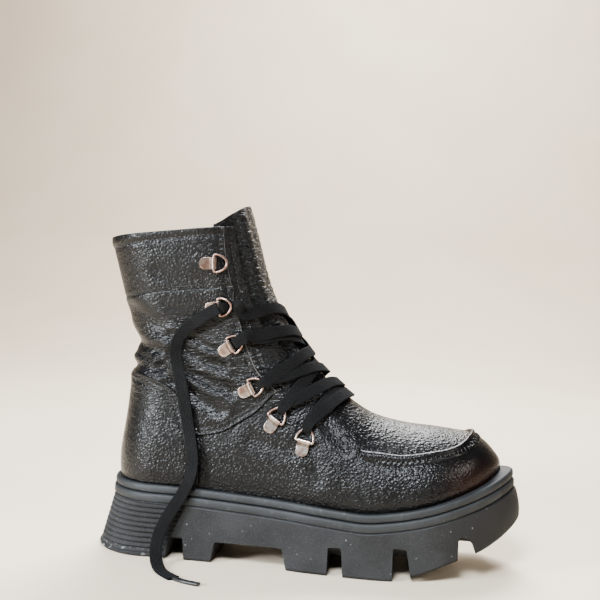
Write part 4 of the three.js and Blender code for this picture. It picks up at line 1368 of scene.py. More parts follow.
@dataclass
class Panel:
    """One panel of leather that is sewn onto the upper."""

    name: str
    node: str
    thickness: float
    rows: tuple[float, float]
    laps: tuple[float, float]
    columns: int
    keep: Callable[[Array], Array]
    raw_line: Array | None = None
    steps_a_row: int = 12

    def sheet(self, skin: Skin) -> tuple[Sheet, Array]:
        """Lay the panel onto the leather.

        Args:
            skin: The leather under it.

        Returns:
            Its mesh, and the number of each face's material.
        """
        low, high = self.rows
        rows = np.linspace(low, high, int((high - low) * self.steps_a_row) + 1)
        laps = np.linspace(*self.laps, self.columns)
        places, faces = patch(rows, laps, lambda at: self.keep(skin.at(at)))
        flat = Sheet(skin.raised(places, skin.gap + self.thickness), faces)
        drop = skin.gap + self.thickness
        edge = ((0.22, 0.07), (0.4, 0.3), (0.45, 0.75), (0.42, drop + 0.6))
        whole, is_edge = skirted(flat, edge)
        marks = np.zeros(len(whole.faces), int)
        if self.raw_line is not None:
            centre = whole.points[whole.faces].mean(axis=1)[:, [0, 2]]
            marks[is_edge & (distance_to(self.raw_line, centre) < 1.6)] = 1
        return whole, marks


@dataclass
class Upper:
    """The boot's leather: one hollow form with its lining and the panels sewn onto it."""

    skin: Skin
    leather: bpy.types.Material
    ridge_leather: bpy.types.Material
    raw_edge: bpy.types.Material
    lining: bpy.types.Material
    thread: bpy.types.Material
    throat_width: float = 58
    throat_start: float = 12.4
    quarter_thickness: float = 1.1
    counter_thickness: float = 1.9
    ridge_height: float = 2.3
    foot_row: float = 0.35

    def __post_init__(self) -> None:
        """Lay the throat's edge and the panels' outlines."""
        above = np.array([0, 0.25, 0.8, 2.6, 5, 9.6]) + self.throat_start
        share = np.array([0.2, 0.32, 0.42, 0.66, 0.95, 1])
        self.throat_half = Curve(above, share * self.throat_width / 2)
        side = self.skin.form.from_side
        self.counter_edge = spline(side(COUNTER_EDGE), 8)
        self.vamp_seam = spline(side(VAMP_SEAM), 8)
        self.quarter_front = spline(side(QUARTER_FRONT), 8)
        self.cuff_seam = spline(side(CUFF_SEAM), 8)
        inset = self.inset
        self.skin.sewn_lines = [
            np.array(COLLAR_STITCH, float), self.cuff_seam + (0, 0.8),
            inset(self.counter_edge, 2.0), inset(self.counter_edge, 5.6),
            inset(self.vamp_seam, 1.8), inset(self.vamp_seam, 4.6),
            inset(self.quarter_front, 2.4), inset(self.quarter_front, -5.0),
        ]
        self.skin.facing = Curve(self.quarter_front[:, 1], self.quarter_front[:, 0])

    def outside_throat(self, places: Array, margin: float = 0) -> Array:
        """How far places lie from the throat.

        Args:
            places: Rows and laps.
            margin: How much wider than the throat the opening is cut.

        Returns:
            Rough distances, below 0 in the throat.
        """
        points = self.skin.at(places)
        off = np.abs(points[:, 1] - self.skin.form.middle(points[:, 0], points[:, 2]))
        across = self.throat_half(places[:, 0]) + margin - off
        up = (places[:, 0] - self.throat_start) * 8 + margin
        blunt = across + up - np.sqrt(across**2 + up**2 + 4)
        in_front = np.abs(self.skin.turn_of(places[:, 1])) > 0.5
        return np.where(in_front, -blunt, 9.0)

    def shell(self) -> None:
        """Make the outer leather."""
        rows = np.linspace(self.foot_row, COLLAR_ROW, 200)
        laps = np.linspace(0, 2, 481)[:-1]
        places, faces = patch(rows, laps, self.outside_throat, closed=True)
        sheet = Sheet(self.skin.raised(places, 0.0), faces)
        edge = ((0.2, 0.06), (0.38, 0.3), (0.42, 0.8), (0.38, 1.3), (0.2, 1.8), (-0.2, 2.05))
        whole, _ = skirted(sheet, edge)
        make_piece("upper_leather", whole, [self.leather],
                   stands_for=["upper"])

    def inner_lining(self) -> None:
        """Make the lining, which looks inwards."""
        rows = np.linspace(0.2, COLLAR_ROW - 0.02, 110)
        laps = np.linspace(0, 2, 241)[:-1]
        places, faces = patch(rows, laps, lambda at: self.outside_throat(at, 0.3), closed=True)
        sheet = Sheet(self.skin.raised(places, -1.95), faces[:, ::-1])
        make_piece("inner_lining", sheet, [self.lining])

    def panels(self) -> None:
        """Make the heel counter, the quarters and the cuff."""
        side = self.skin.form.from_side
        gap = self.skin.seam_gap
        counter = np.vstack([side([(-0.1, 0.006)]), self.counter_edge, side([(-0.1, 0.45)])])
        upper_counter = self.counter_edge[16:] + gap
        quarter = np.vstack([
            self.vamp_seam[:-1],
            self.quarter_front[: 6 * 8 + 1],
            self.cuff_seam[::-1] - (0, gap),
            side([(-0.1, 0.448)]) + (0, gap),
            upper_counter[::-1],
        ])
        cuff = np.vstack([self.cuff_seam, self.quarter_front[7 * 8 - 4:],
                          side([(0.276, 1.3), (-0.1, 1.3)])])

        def on(outline: Array) -> Callable[[Array], Array]:
            """How far places lie inside an outline seen from the side."""
            return lambda points: inside(outline, points[:, [0, 2]])

        thin = self.quarter_thickness
        made = [
            Panel("heel_counter_leather", "heel_counter", self.counter_thickness, (0.9, 14.2),
                  (-0.37, 0.37), 210, on(counter)),
            Panel("quarter_leather_lateral", "quarter_lateral", thin, (4.5, 20.4), (0, 0.8), 185,
                  lambda points: np.minimum(on(quarter)(points), -points[:, 1] - gap / 2),
                  self.quarter_front),
            Panel("quarter_leather_medial", "quarter_medial", thin, (4.5, 20.4), (-0.8, 0), 185,
                  lambda points: np.minimum(on(quarter)(points), points[:, 1] - gap / 2),
                  self.quarter_front),
            Panel("collar_cuff_leather", "collar_cuff", thin, (14.5, COLLAR_ROW), (-0.84, 0.84),
                  360, on(cuff), self.quarter_front),
        ]
        for panel in made:
            sheet, marks = panel.sheet(self.skin)
            make_piece(panel.name, sheet, [self.leather, self.raw_edge], marks,
                       stands_for=[panel.node])

    def ridge_edges(self) -> tuple[Array, Array]:
        """The inner and outer edge of the raised seam round the vamp's plug, from above."""
        form = self.skin.form
        edges = []
        for column, tip in ((1, RIDGE_TIPS[0]), (2, RIDGE_TIPS[1])):
            rows = [row for row in RIDGE_ROWS if row[0] < tip]
            x = form.along([row[0] for row in rows])
            share = np.array([row[column] for row in rows])
            z = mix(form.feather(x), form.top_at(x), share)
            middle, half = form.middle(x, z), form.half_width(x, z)
            tip_x = form.along(tip)
            front = [[tip_x, form.middle(tip_x, form.top_at(tip_x))]]
            outer = np.stack([x, middle - half], axis=1)
            inner = np.stack([x, middle + half], axis=1)[::-1]
            edges.append(spline(np.vstack([outer, front, inner]), 6))
        return edges[0], edges[1]

    def ridge(self) -> None:
        """Make the raised seam: a roll along the plug, and a gathered band below it."""
        inner, outer = self.ridge_edges()
        band = np.vstack([outer, inner[::-1]])
        form = self.skin.form

        def keep(places: Array) -> Array:
            """How far places lie inside the seam's band."""
            points = self.skin.at(places)
            high = points[:, 2] > form.ball_stack + 4
            return np.where(high, inside(band, points[:, :2]), -5.0)

        rows = np.linspace(2.2, 13.2, 190)
        laps = np.linspace(0.62, 1.38, 520)
        places, faces = patch(rows, laps, keep)
        points = self.skin.at(places)
        from_plug = distance_to(inner, points[:, :2])
        from_wall = distance_to(outer, points[:, :2])
        roll = np.sqrt(np.clip(1 - ((from_plug - 1.7) / 1.75) ** 2, 0, 1))
        run = points[:, 0] + np.abs(points[:, 1]) * 1.1
        gathers = 0.34 * np.sin(run * 2 * math.pi / 3.4) * smooth(from_plug / 3 - 0.8)
        flat = 0.75 + gathers - 0.35 * bell((from_wall - 2.0) / 0.7)
        height = np.maximum(roll * self.ridge_height, flat * smooth(from_wall / 1.6 + 0.2))
        sheet = Sheet(self.skin.raised(places, height), faces)
        whole, _ = skirted(sheet, ((0.12, 0.1), (0.18, 0.35), (0.18, 1.6)))
        make_piece("apron_ridge_leather", whole, [self.ridge_leather],
                   stands_for=["apron_ridge"])
        self.blanket_stitches(outer)

    def blanket_stitches(self, outer: Array) -> None:
        """Sew along the raised seam's lower edge, with short stitches across it."""
        form = self.skin.form
        line = evenly(outer, 3.4)[1:-1]
        ahead = unit(np.gradient(line, axis=0))
        inwards = np.stack([-ahead[:, 1], ahead[:, 0]], axis=1)
        if (form.plan_shift(line[0, 0]) - line[0, 1]) * inwards[0, 1] < 0:
            inwards = -inwards
        ends = []
        for depth in (0.7, 3.0):
            at = line + inwards * depth
            ends.append(self.drop_onto(at, 1.0))
        first, last = ends
        out = unit(np.cross(np.gradient(first, axis=0), last - first))
        out = np.where(out[:, 2:] < 0, -out, out)
        sheet = Thread(width=0.8, stand=0.34).lay(first, last, out)
        make_piece("apron_stitches", sheet, [self.thread])

    def drop_onto(self, places: Array, lift: float) -> Array:
        """Points of the vamp under places seen from above.

        Args:
            places: Places, x and y.
            lift: How far over the form the points lie.

        Returns:
            The points.
        """
        form = self.skin.form
        x, y = places.T
        low, high = form.feather(x) + 12, form.top_at(x)
        for _ in range(26):
            z = (low + high) / 2
            wide = form.half_width(x, z) > np.abs(y - form.middle(x, z))
            low, high = np.where(wide, z, low), np.where(wide, high, z)
        base = np.stack([x, y, low], axis=1)
        side = np.where(y < form.middle(x, low), -1, 1)
        out = np.stack([np.zeros(len(x)), side * 0.7, np.full(len(x), 0.7)], axis=1)
        return base + out * (lift + self.skin.relief(base))[:, None]

    def seams(self) -> None:
        """Sew the panels down."""
        thread = Thread()
        form = self.skin.form
        rows = []
        thin = self.skin.gap + self.quarter_thickness
        thick = self.skin.gap + self.counter_thickness
        reach = form.along(0.272)
        knots = np.array(COLLAR_STITCH, float)
        collar = Curve(knots[:, 0], knots[:, 1])
        cuff = Curve(self.cuff_seam[:, 0], self.cuff_seam[:, 1] + 2.1)
        for height, end in ((collar, reach), (cuff, reach + 6)):
            rows.append(thread.row(*self.skin.collar_line(height, end, thin)))
        for side in Side:
            for inset in (2.0, 5.6):
                line = self.inset(self.counter_edge, inset)
                line = line[line[:, 0] > form.heel_at(line[:, 1])]
                rows.append(self.sewn(thread, line, side, thick))
            for inset in (1.8, 4.6):
                line = self.inset(self.vamp_seam, inset)
                rows.append(self.sewn(thread, line, side, thin))
            line = self.inset(self.quarter_front, 2.4)
            line = line[(line[:, 1] > 122) & (line[:, 1] < 226)]
            rows.append(self.sewn(thread, line, side, thin))
            line = self.inset(self.quarter_front, -5.0)
            line = line[(line[:, 1] > 134) & (line[:, 1] < 226)]
            rows.append(self.sewn(thread, line, side, 0.0))
        make_piece("seam_stitches", joined(rows), [self.thread])

    def sewn(self, thread: Thread, line: Array, side: Side, lift: float) -> Sheet:
        """Stitches along a line seen from the side."""
        fine = evenly(line, 0.35)
        return thread.row(*self.skin.side_line(fine, side, lift))

    @staticmethod
    def inset(line: Array, by: float) -> Array:
        """A line in the plane moved sideways, to its left if by is above 0."""
        ahead = unit(np.gradient(line, axis=0))
        return line + np.stack([-ahead[:, 1], ahead[:, 0]], axis=1) * by

    def build(self) -> None:
        """Make all the leather."""
        self.shell()
        self.inner_lining()
        self.panels()
        self.ridge()
        self.seams()


# The sole
NOTCH_ROWS = (
    (0.167, 0.224, 0.183, 0.216, 0.5, 0.3), (0.277, 0.479, 0.294, 0.455, 0.34, 0.34),
    (0.562, 0.603, 0.563, 0.593, 0.48, 0.25), (0.71, 0.759, 0.711, 0.741, 0.53, 0.31),
    (0.855, 0.911, 0.857, 0.887, 0.83, 0.62),
)


@dataclass
class Bottom:
    """What the leather stands on: the outsole, the welt and the insole."""

    form: BootForm
    rubber: bpy.types.Material
    rim: bpy.types.Material
    sock: bpy.types.Material
    ledge: float = 5.4
    toe_ledge: float = 4.6
    heel_ledge: float = 1.5
    heel_flare: float = 9.6
    toe_swell: float = 4
    welt_height: float = 5.6
    welt_inset: float = 0.8
    rim_height: float = 6.4
    rim_groove: float = 1.2
    bevel: float = 2.2
    heel_block: float = 48
    heel_slant: float = 15
    ribs: int = 10
    rib_depth: float = 1.3
    edge_depth: float = 17
    gap: float = 0.3
    half_steps: int = 180

    def __post_init__(self) -> None:
        """Lay the outline of the foot of the leather."""
        k = np.arange(2 * self.half_steps)
        self.laps = k / self.half_steps
        turns = Skin.turn_of(self.laps)
        self.shares = np.where(self.laps <= 1, np.abs(turns), 2 - np.abs(turns))

    def outline(self, shares: Array) -> tuple[Array, Array]:
        """The foot of the leather, and the directions out of it seen from above.

        Args:
            shares: Places round it, from 0 at the back to 1 at the front and 2 at the back.

        Returns:
            Its points and directions.
        """
        def at(place: Array) -> Array:
            """The foot of the leather at places round it."""
            held = place % 2
            return self.form.surface(1.0, np.where(held <= 1, held, held - 2))

        ahead, behind = np.roll(shares, -1), np.roll(shares, 1)
        step = at(ahead) - at(behind)
        normals = unit(np.stack([step[:, 1], -step[:, 0]], axis=1))
        return at(shares), normals

    def loop(
        self,
        reach: Callable[[Array, Array], Any],
        height: Callable[[Array, Array], Array],
        shares: Array | None = None,
    ) -> Array:
        """One level of the sole.

        Args:
            reach: How far out it lies, from the directions and what the ends add.
            height: Its height, from its own x and the leather's x.
            shares: The places round the outline, the usual ones if left out.

        Returns:
            The level's points.
        """
        points, normals = self.outline(self.shares if shares is None else shares)
        ends = self.toe_ledge * np.maximum(normals[:, 0], 0) ** 3
        ends = ends + self.heel_ledge * np.maximum(-normals[:, 0], 0) ** 3
        out = np.asarray(reach(normals, ends)) + np.zeros(len(points))
        x = points[:, 0] + normals[:, 0] * out
        y = points[:, 1] + normals[:, 1] * out
        return np.stack([x, y, height(x, points[:, 0])], axis=1)

    def rim_top(self, x: Array) -> Array:
        """Height of the sole's upper face."""
        return self.form.feather(x) - self.welt_height - self.gap

    def wall_reach(self, share: float, extra: Any = 0.0) -> Callable[[Array, Array], Array]:
        """How far out the side wall lies, at a share of the way down to the floor."""
        def reach(normals: Array, ends: Array) -> Array:
            """How far out the wall lies."""
            heel = self.heel_flare * share * np.maximum(-normals[:, 0], 0.1)
            swell = math.sin(math.pi * mix(0.12, 0.67, share))
            toe = self.toe_swell * swell * np.maximum(normals[:, 0], 0) ** 2
            return self.ledge + ends - 0.4 + heel + toe + extra

        return reach

    def wall_height(self, share: float) -> Callable[[Array, Array], Array]:
        """Height of the side wall at a share of the way up to the rim."""
        def height(x: Array, inner: Array) -> Array:
            """How high the wall's level lies."""
            return mix(self.form.tread(x), self.rim_top(inner) - self.rim_height, share)

        return height

    def rib_end(self, z: float) -> float:
        """Where the ribs end along the boot, at a height."""
        top = self.form.heel_stack - self.welt_height - self.rim_height - self.gap - 0.3
        return self.heel_block - self.form.heel_rest + self.heel_slant * z / top

    def shares_at(self, share: float) -> tuple[Array, Array]:
        """Places round the outline with two of them close to the ribs' end.

        Args:
            share: The level's share of the way up the side wall.

        Returns:
            The places, and which of them have ribs.
        """
        rim = float(self.form.feather(0.0)) - self.welt_height - self.rim_height
        end_x = self.rib_end(share * rim)
        start, stop = self.form.back_x(1.0), self.form.front_x(1.0)
        end = float((end_x - start) / (stop - start))
        half = self.half_steps
        base = self.shares[: half + 1]
        middle = float((self.rib_end(rim / 2) - start) / (stop - start))
        near = int(np.searchsorted(base, middle)) - 1
        span = 12
        marks = [0, near - span, near, near + 1, near + 1 + span, half]
        spots = [0, base[near - span], end - 0.0012, end + 0.0012, base[near + 1 + span], 1]
        index = np.arange(half + 1)
        local = np.interp(index, marks, spots)
        held = (index < near - span) | (index > near + 1 + span)
        one = np.where(held, base, local)
        ribbed = index <= near
        both = np.concatenate([one, 2 - one[1:-1][::-1]])
        return both, np.concatenate([ribbed, ribbed[1:-1][::-1]])

    def body(self) -> Sheet:
        """The outsole before its notches are cut."""
        tread = self.form.tread

        def above(lift: float) -> Callable[[Array, Array], Array]:
            """Heights over the tread."""
            return lambda x, inner: tread(x) + lift

        def rim(lift: float) -> Callable[[Array, Array], Array]:
            """Heights over the foot of the rim."""
            return lambda x, inner: self.rim_top(inner) - self.rim_height + lift

        def edge(extra: float) -> Callable[[Array, Array], Array]:
            """The outer edge, moved out by a distance."""
            return lambda normals, ends: self.ledge + ends + extra

        b = self.bevel
        loops = [
            self.loop(self.wall_reach(1, -b), above(0)),
            self.loop(self.wall_reach(1, -b * 0.55), above(b * 0.16)),
            self.loop(self.wall_reach(1, -b * 0.2), above(b * 0.5)),
            self.loop(self.wall_reach(1, 0), above(b)),
        ]
        steps = 9
        for level in np.arange(1, self.ribs * steps):
            share = mix(0.07, 0.985, level / (self.ribs * steps))
            phase = (level % steps) / steps
            rib = -0.15 - self.rib_depth * (1 - abs(math.sin(math.pi * phase)) ** 0.55)
            shares, ribbed = self.shares_at(share)
            reach = self.wall_reach(1 - share, np.where(ribbed, rib, 0.0))
            loops.append(self.loop(reach, self.wall_height(share), shares))
        rim_marks = (
            (-0.5, -0.35), (-1.0, -0.1), (-self.rim_groove, 0.2), (-0.9, 0.5), (-0.25, 0.9),
            (0, 1.3), (0, self.rim_height - 1.7), (-0.3, self.rim_height - 0.8),
            (-0.9, self.rim_height - 0.2), (-1.6, self.rim_height), (-7.5, self.rim_height),
        )
        loops += [self.loop(edge(out), rim(up)) for out, up in rim_marks]
        return closed_grid(np.array(loops))

    def notch(self, row: Sequence[float]) -> Sheet:
        """The space between two lugs, which is cut out of the sole."""
        start, end, start_top, end_top, roof, inner = row
        side = self.form.ball_width / 2 + self.ledge
        sections = []
        for y, share in ((-side - 8, roof), (-side, roof), (-side + self.edge_depth, inner),
                         (side - self.edge_depth, inner), (side, roof), (side + 8, roof)):
            top = share * self.form.ball_stack
            low_start, low_end = (float(self.form.tread(self.form.along(s))) - 12 for s in (start, end))
            x = [float(self.form.along(s)) for s in (start, end, end_top, start_top)]
            corner = 1.3
            outline = [(x[0], low_start), (x[1], low_end)]
            lean_end = (x[2] - x[1]) / (top - low_end)
            lean_start = (x[3] - x[0]) / (top - low_start)
            outline += [(x[2] - lean_end * corner, top - corner),
                        (x[2] - corner * 0.3, top - corner * 0.3), (x[2] - corner, top)]
            outline += [(x[3] + corner, top), (x[3] + corner * 0.3, top - corner * 0.3),
                        (x[3] - lean_start * corner, top - corner)]
            sections.append([(px, y, pz) for px, pz in outline])
        loops = np.array(sections)
        rows, count = loops.shape[:2]
        faces = grid_faces(rows, count, closed=True)[:, ::-1]
        last = (rows - 1) * count
        caps = []
        for a, b, c, d in ((0, 1, 2, 7), (2, 3, 6, 7), (3, 4, 5, 6)):
            caps.append([a, b, c, d])
            caps.append([last + d, last + c, last + b, last + a])
        return Sheet(loops.reshape(-1, 3), np.vstack([faces, caps]))

    def cut(self, piece: bpy.types.Object, cutters: Sequence[Sheet]) -> None:
        """Cut closed forms out of a piece, for good."""
        for number, sheet in enumerate(cutters):
            mesh = bpy.data.meshes.new(f"cutter_{number}")
            mesh.from_pydata((sheet.points * MM).tolist(), [], sheet.faces.tolist())
            cutter = bpy.data.objects.new(f"cutter_{number}", mesh)
            bpy.context.scene.collection.objects.link(cutter)
            modifier = piece.modifiers.new("notch", "BOOLEAN")
            modifier.operation = "DIFFERENCE"
            modifier.solver = "EXACT"
            modifier.object = cutter
            view = bpy.context.evaluated_depsgraph_get()
            made = bpy.data.meshes.new_from_object(piece.evaluated_get(view))
            piece.modifiers.clear()
            old, piece.data = piece.data, made
            bpy.data.meshes.remove(old)
            bpy.data.objects.remove(cutter)
            bpy.data.meshes.remove(mesh)

    def outsole(self) -> None:
        """Make the outsole, with its rims, heel ribs and lugs."""
        sheet = self.body()
        centre = sheet.points[sheet.faces].mean(axis=1)
        share = (centre[:, 2] - self.form.tread(centre[:, 0]))
        limit = self.rim_top(centre[:, 0]) - self.rim_height - self.form.tread(centre[:, 0])
        marks = (share > limit - 0.9).astype(int)
        piece = make_piece("outsole_rubber", sheet, [self.rubber, self.rim], marks,
                           stands_for=["outsole"])
        self.cut(piece, [self.notch(row) for row in NOTCH_ROWS])
        piece.data.set_sharp_from_angle(angle=math.radians(38))

    def welt(self) -> None:
        """Make the welt, with the butt joint at the waist."""
        def level(share: float) -> Callable[[Array, Array], Array]:
            """Heights at a share of the welt's own."""
            return lambda x, inner: self.rim_top(inner) + self.gap + share * self.welt_height

        joint_x = float(self.form.along(0.4))

        def edge(extra: float) -> Callable[[Array, Array], Array]:
            """The outer edge, moved out by a distance."""
            return lambda normals, ends: self.ledge + ends - self.welt_inset + extra

        marks = ((-1.3, 0.0), (-0.6, 0.06), (-0.15, 0.18), (0, 0.34), (-0.02, 0.6),
                 (-0.25, 0.8), (-0.75, 0.94), (-1.5, 1.0), (-2.9, 1.02), (-3.3, 0.97),
                 (-3.6, 0.97))
        loops = [self.loop(edge(out), level(up)) for out, up in marks]
        inside_top = self.loop(lambda normals, ends: self.gap, level(0.97))
        inside_low = self.loop(lambda normals, ends: self.gap, level(0.0))
        loops = np.array([*loops, inside_top, inside_low, loops[0]])
        near = np.abs(loops[:, :, 0] - joint_x) < 0.5
        centre = self.form.middle(loops[:, :, 0], loops[:, :, 2])
        loops[:, :, 1] -= near * np.sign(loops[:, :, 1] - centre) * 0.35
        rows, count = loops.shape[:2]
        sheet = Sheet(loops.reshape(-1, 3), grid_faces(rows, count, closed=True))
        make_piece("welt_rubber", sheet, [self.rim], stands_for=["welt"],
                   sharp=50)

    def insole(self) -> None:
        """Make the insole's board with its sock."""
        inset = -self.form.wall - 1.7
        base = [(inset, 0.0), (inset, 3.4), (inset - 0.5, 3.9), (inset - 1.4, 4.1)]
        loops = []
        for out, up in base:
            loops.append(self.loop(
                lambda normals, ends, out=out: out,
                lambda x, inner, up=up: self.rim_top(inner) + self.gap + up,
            ))
        make_piece("insole_sock", closed_grid(np.array(loops)), [self.sock],
                   stands_for=["insole"], sharp=50)

    def build(self) -> None:
        """Make the whole bottom."""
        self.outsole()
        self.welt()
        self.insole()


def band_solid(sections: Array) -> Sheet:
    """A closed form through sections that run out along one face and back along the other.

    Args:
        sections: Sections by points by coordinates.

    Returns:
        The form.
    """
    rows, count = sections.shape[:2]
    i = np.arange(count // 2 - 1)
    last = (rows - 1) * count
    ends = [np.stack([count - 1 - i, count - 2 - i, i + 1, i], axis=1),
            np.stack([i, i + 1, count - 2 - i, count - 1 - i], axis=1) + last]
    faces = np.vstack([grid_faces(rows, count, closed=True), *ends])
    return Sheet(sections.reshape(-1, 3), faces)


@dataclass
class Tongue:
    """The padded tongue, inside the wall at its sides and swelling through the throat."""

    skin: Skin
    upper: Upper
    leather: bpy.types.Material
    thickness: float = 5
    bulge: float = 0.6
    gap: float = 1
    stand: float = 1.02
    sag: float = 0.85

    def width_turn(self, row: Array, across: Array) -> Array:
        """The turn at which the surface lies a distance from the middle of the front."""
        form = self.skin.form
        low, high = np.full(row.shape, 0.5), np.ones(row.shape)
        middle = form.surface(row, np.ones(row.shape))[..., 1]
        for _ in range(26):
            share = (low + high) / 2
            wide = np.abs(form.surface(row, share)[..., 1] - middle) > across
            low, high = np.where(wide, share, low), np.where(wide, high, share)
        return (low + high) / 2

    def wrinkles(self, run: Array, across: Array) -> Array:
        """Heights of the short cross wrinkles, along and across the tongue in millimetres."""
        bend = run / 5.6 + 0.4 * np.sin(across / 6.1 + run / 17.0) + 0.45 * np.sin(run / 8.3)
        first = np.abs(np.sin(math.pi * bend)) ** 0.7
        second = np.sin(math.pi * (run / 3.7 + 0.6 * np.sin(across / 5.1 + run / 9.0)))
        patch = 0.6 + 0.4 * np.sin(across / 6.3 + run / 21.0)
        return (first - 0.6) * 0.7 * patch + second * 0.16

    def build(self) -> None:
        """Make the tongue."""
        start = self.upper.throat_start
        above = np.array([-0.9, 0.6, 2.4, 4.6, 6.8, 8.6, 9.6]) + start
        shares = np.array([0.34, 0.62, 0.88, 1.11, 1.19, 1.27, 1.29])
        half_at = Curve(above, shares * self.upper.throat_width / 2)
        middle = np.linspace(start - 0.9, COLLAR_ROW + self.stand, 150)[:, None]
        share = np.sin(np.linspace(-np.pi / 2, np.pi / 2, 91))[None, :]
        half = half_at(middle)
        sag = self.sag * smooth((middle - COLLAR_ROW + 3) / 4)
        row = middle - sag * share**2
        across = half * share
        turn = self.width_turn(row, np.abs(across))
        turn = np.where(across < 0, turn, -turn)
        opening = self.upper.throat_half(row) - np.abs(across)
        inside_throat = smooth(opening / 7 - 0.25) * smooth((row - start - 0.3) / 1.2)
        lift = mix(-self.skin.form.wall - self.gap, self.bulge, inside_throat)
        thin = smooth((half - np.abs(across)) / 9)
        thickness = mix(1.6, self.thickness, thin)
        base = self.skin.form.surface(row, turn)
        out = self.skin.form.normal(row, turn)
        line = self.skin.form.surface(middle[:, 0], 1.0)
        run = runs(line)
        crush = self.wrinkles(run[:, None] + np.zeros(across.shape), across)
        end = 1 - smooth((middle - COLLAR_ROW - self.stand + 0.35) / 0.35)
        edge = self.upper.throat_half(row)
        rolled = 1.5 * bell((np.abs(across) - edge * 0.6) / 4.0)
        rolled = rolled - 0.9 * bell((np.abs(across) - edge * 0.84) / 2.2)
        front = lift + (crush + rolled * 0.8 - 0.15) * np.sqrt(inside_throat) * (0.3 + 0.7 * end)
        round_off = np.sqrt(np.clip(1 - (1 - end) ** 2 * 0.7, 0, 1))
        back = lift - thickness * round_off
        outside = base + out * front[..., None]
        back_face = base + out * back[..., None]
        sections = np.concatenate([outside, back_face[:, ::-1]], axis=1)
        piece = make_piece("tongue_leather", band_solid(sections), [self.leather],
                           stands_for=["tongue"], sharp=60)


@dataclass(frozen=True)
class HookPlace:
    """Where one pair of lace loops sits: its row, how far round, and how it is turned."""

    row: float
    along: float
    turn: float
    on_quarter: bool


HOOK_PLACES = (
    HookPlace(19.51, 0.728, -2, True), HookPlace(17.47, 0.671, 6, True),
    HookPlace(15.25, 0.626, 36, True), HookPlace(11.82, 0.592, 33, True),
    HookPlace(7.45, 0.53, 58, False), HookPlace(4.99, 0.542, 78, False),
)


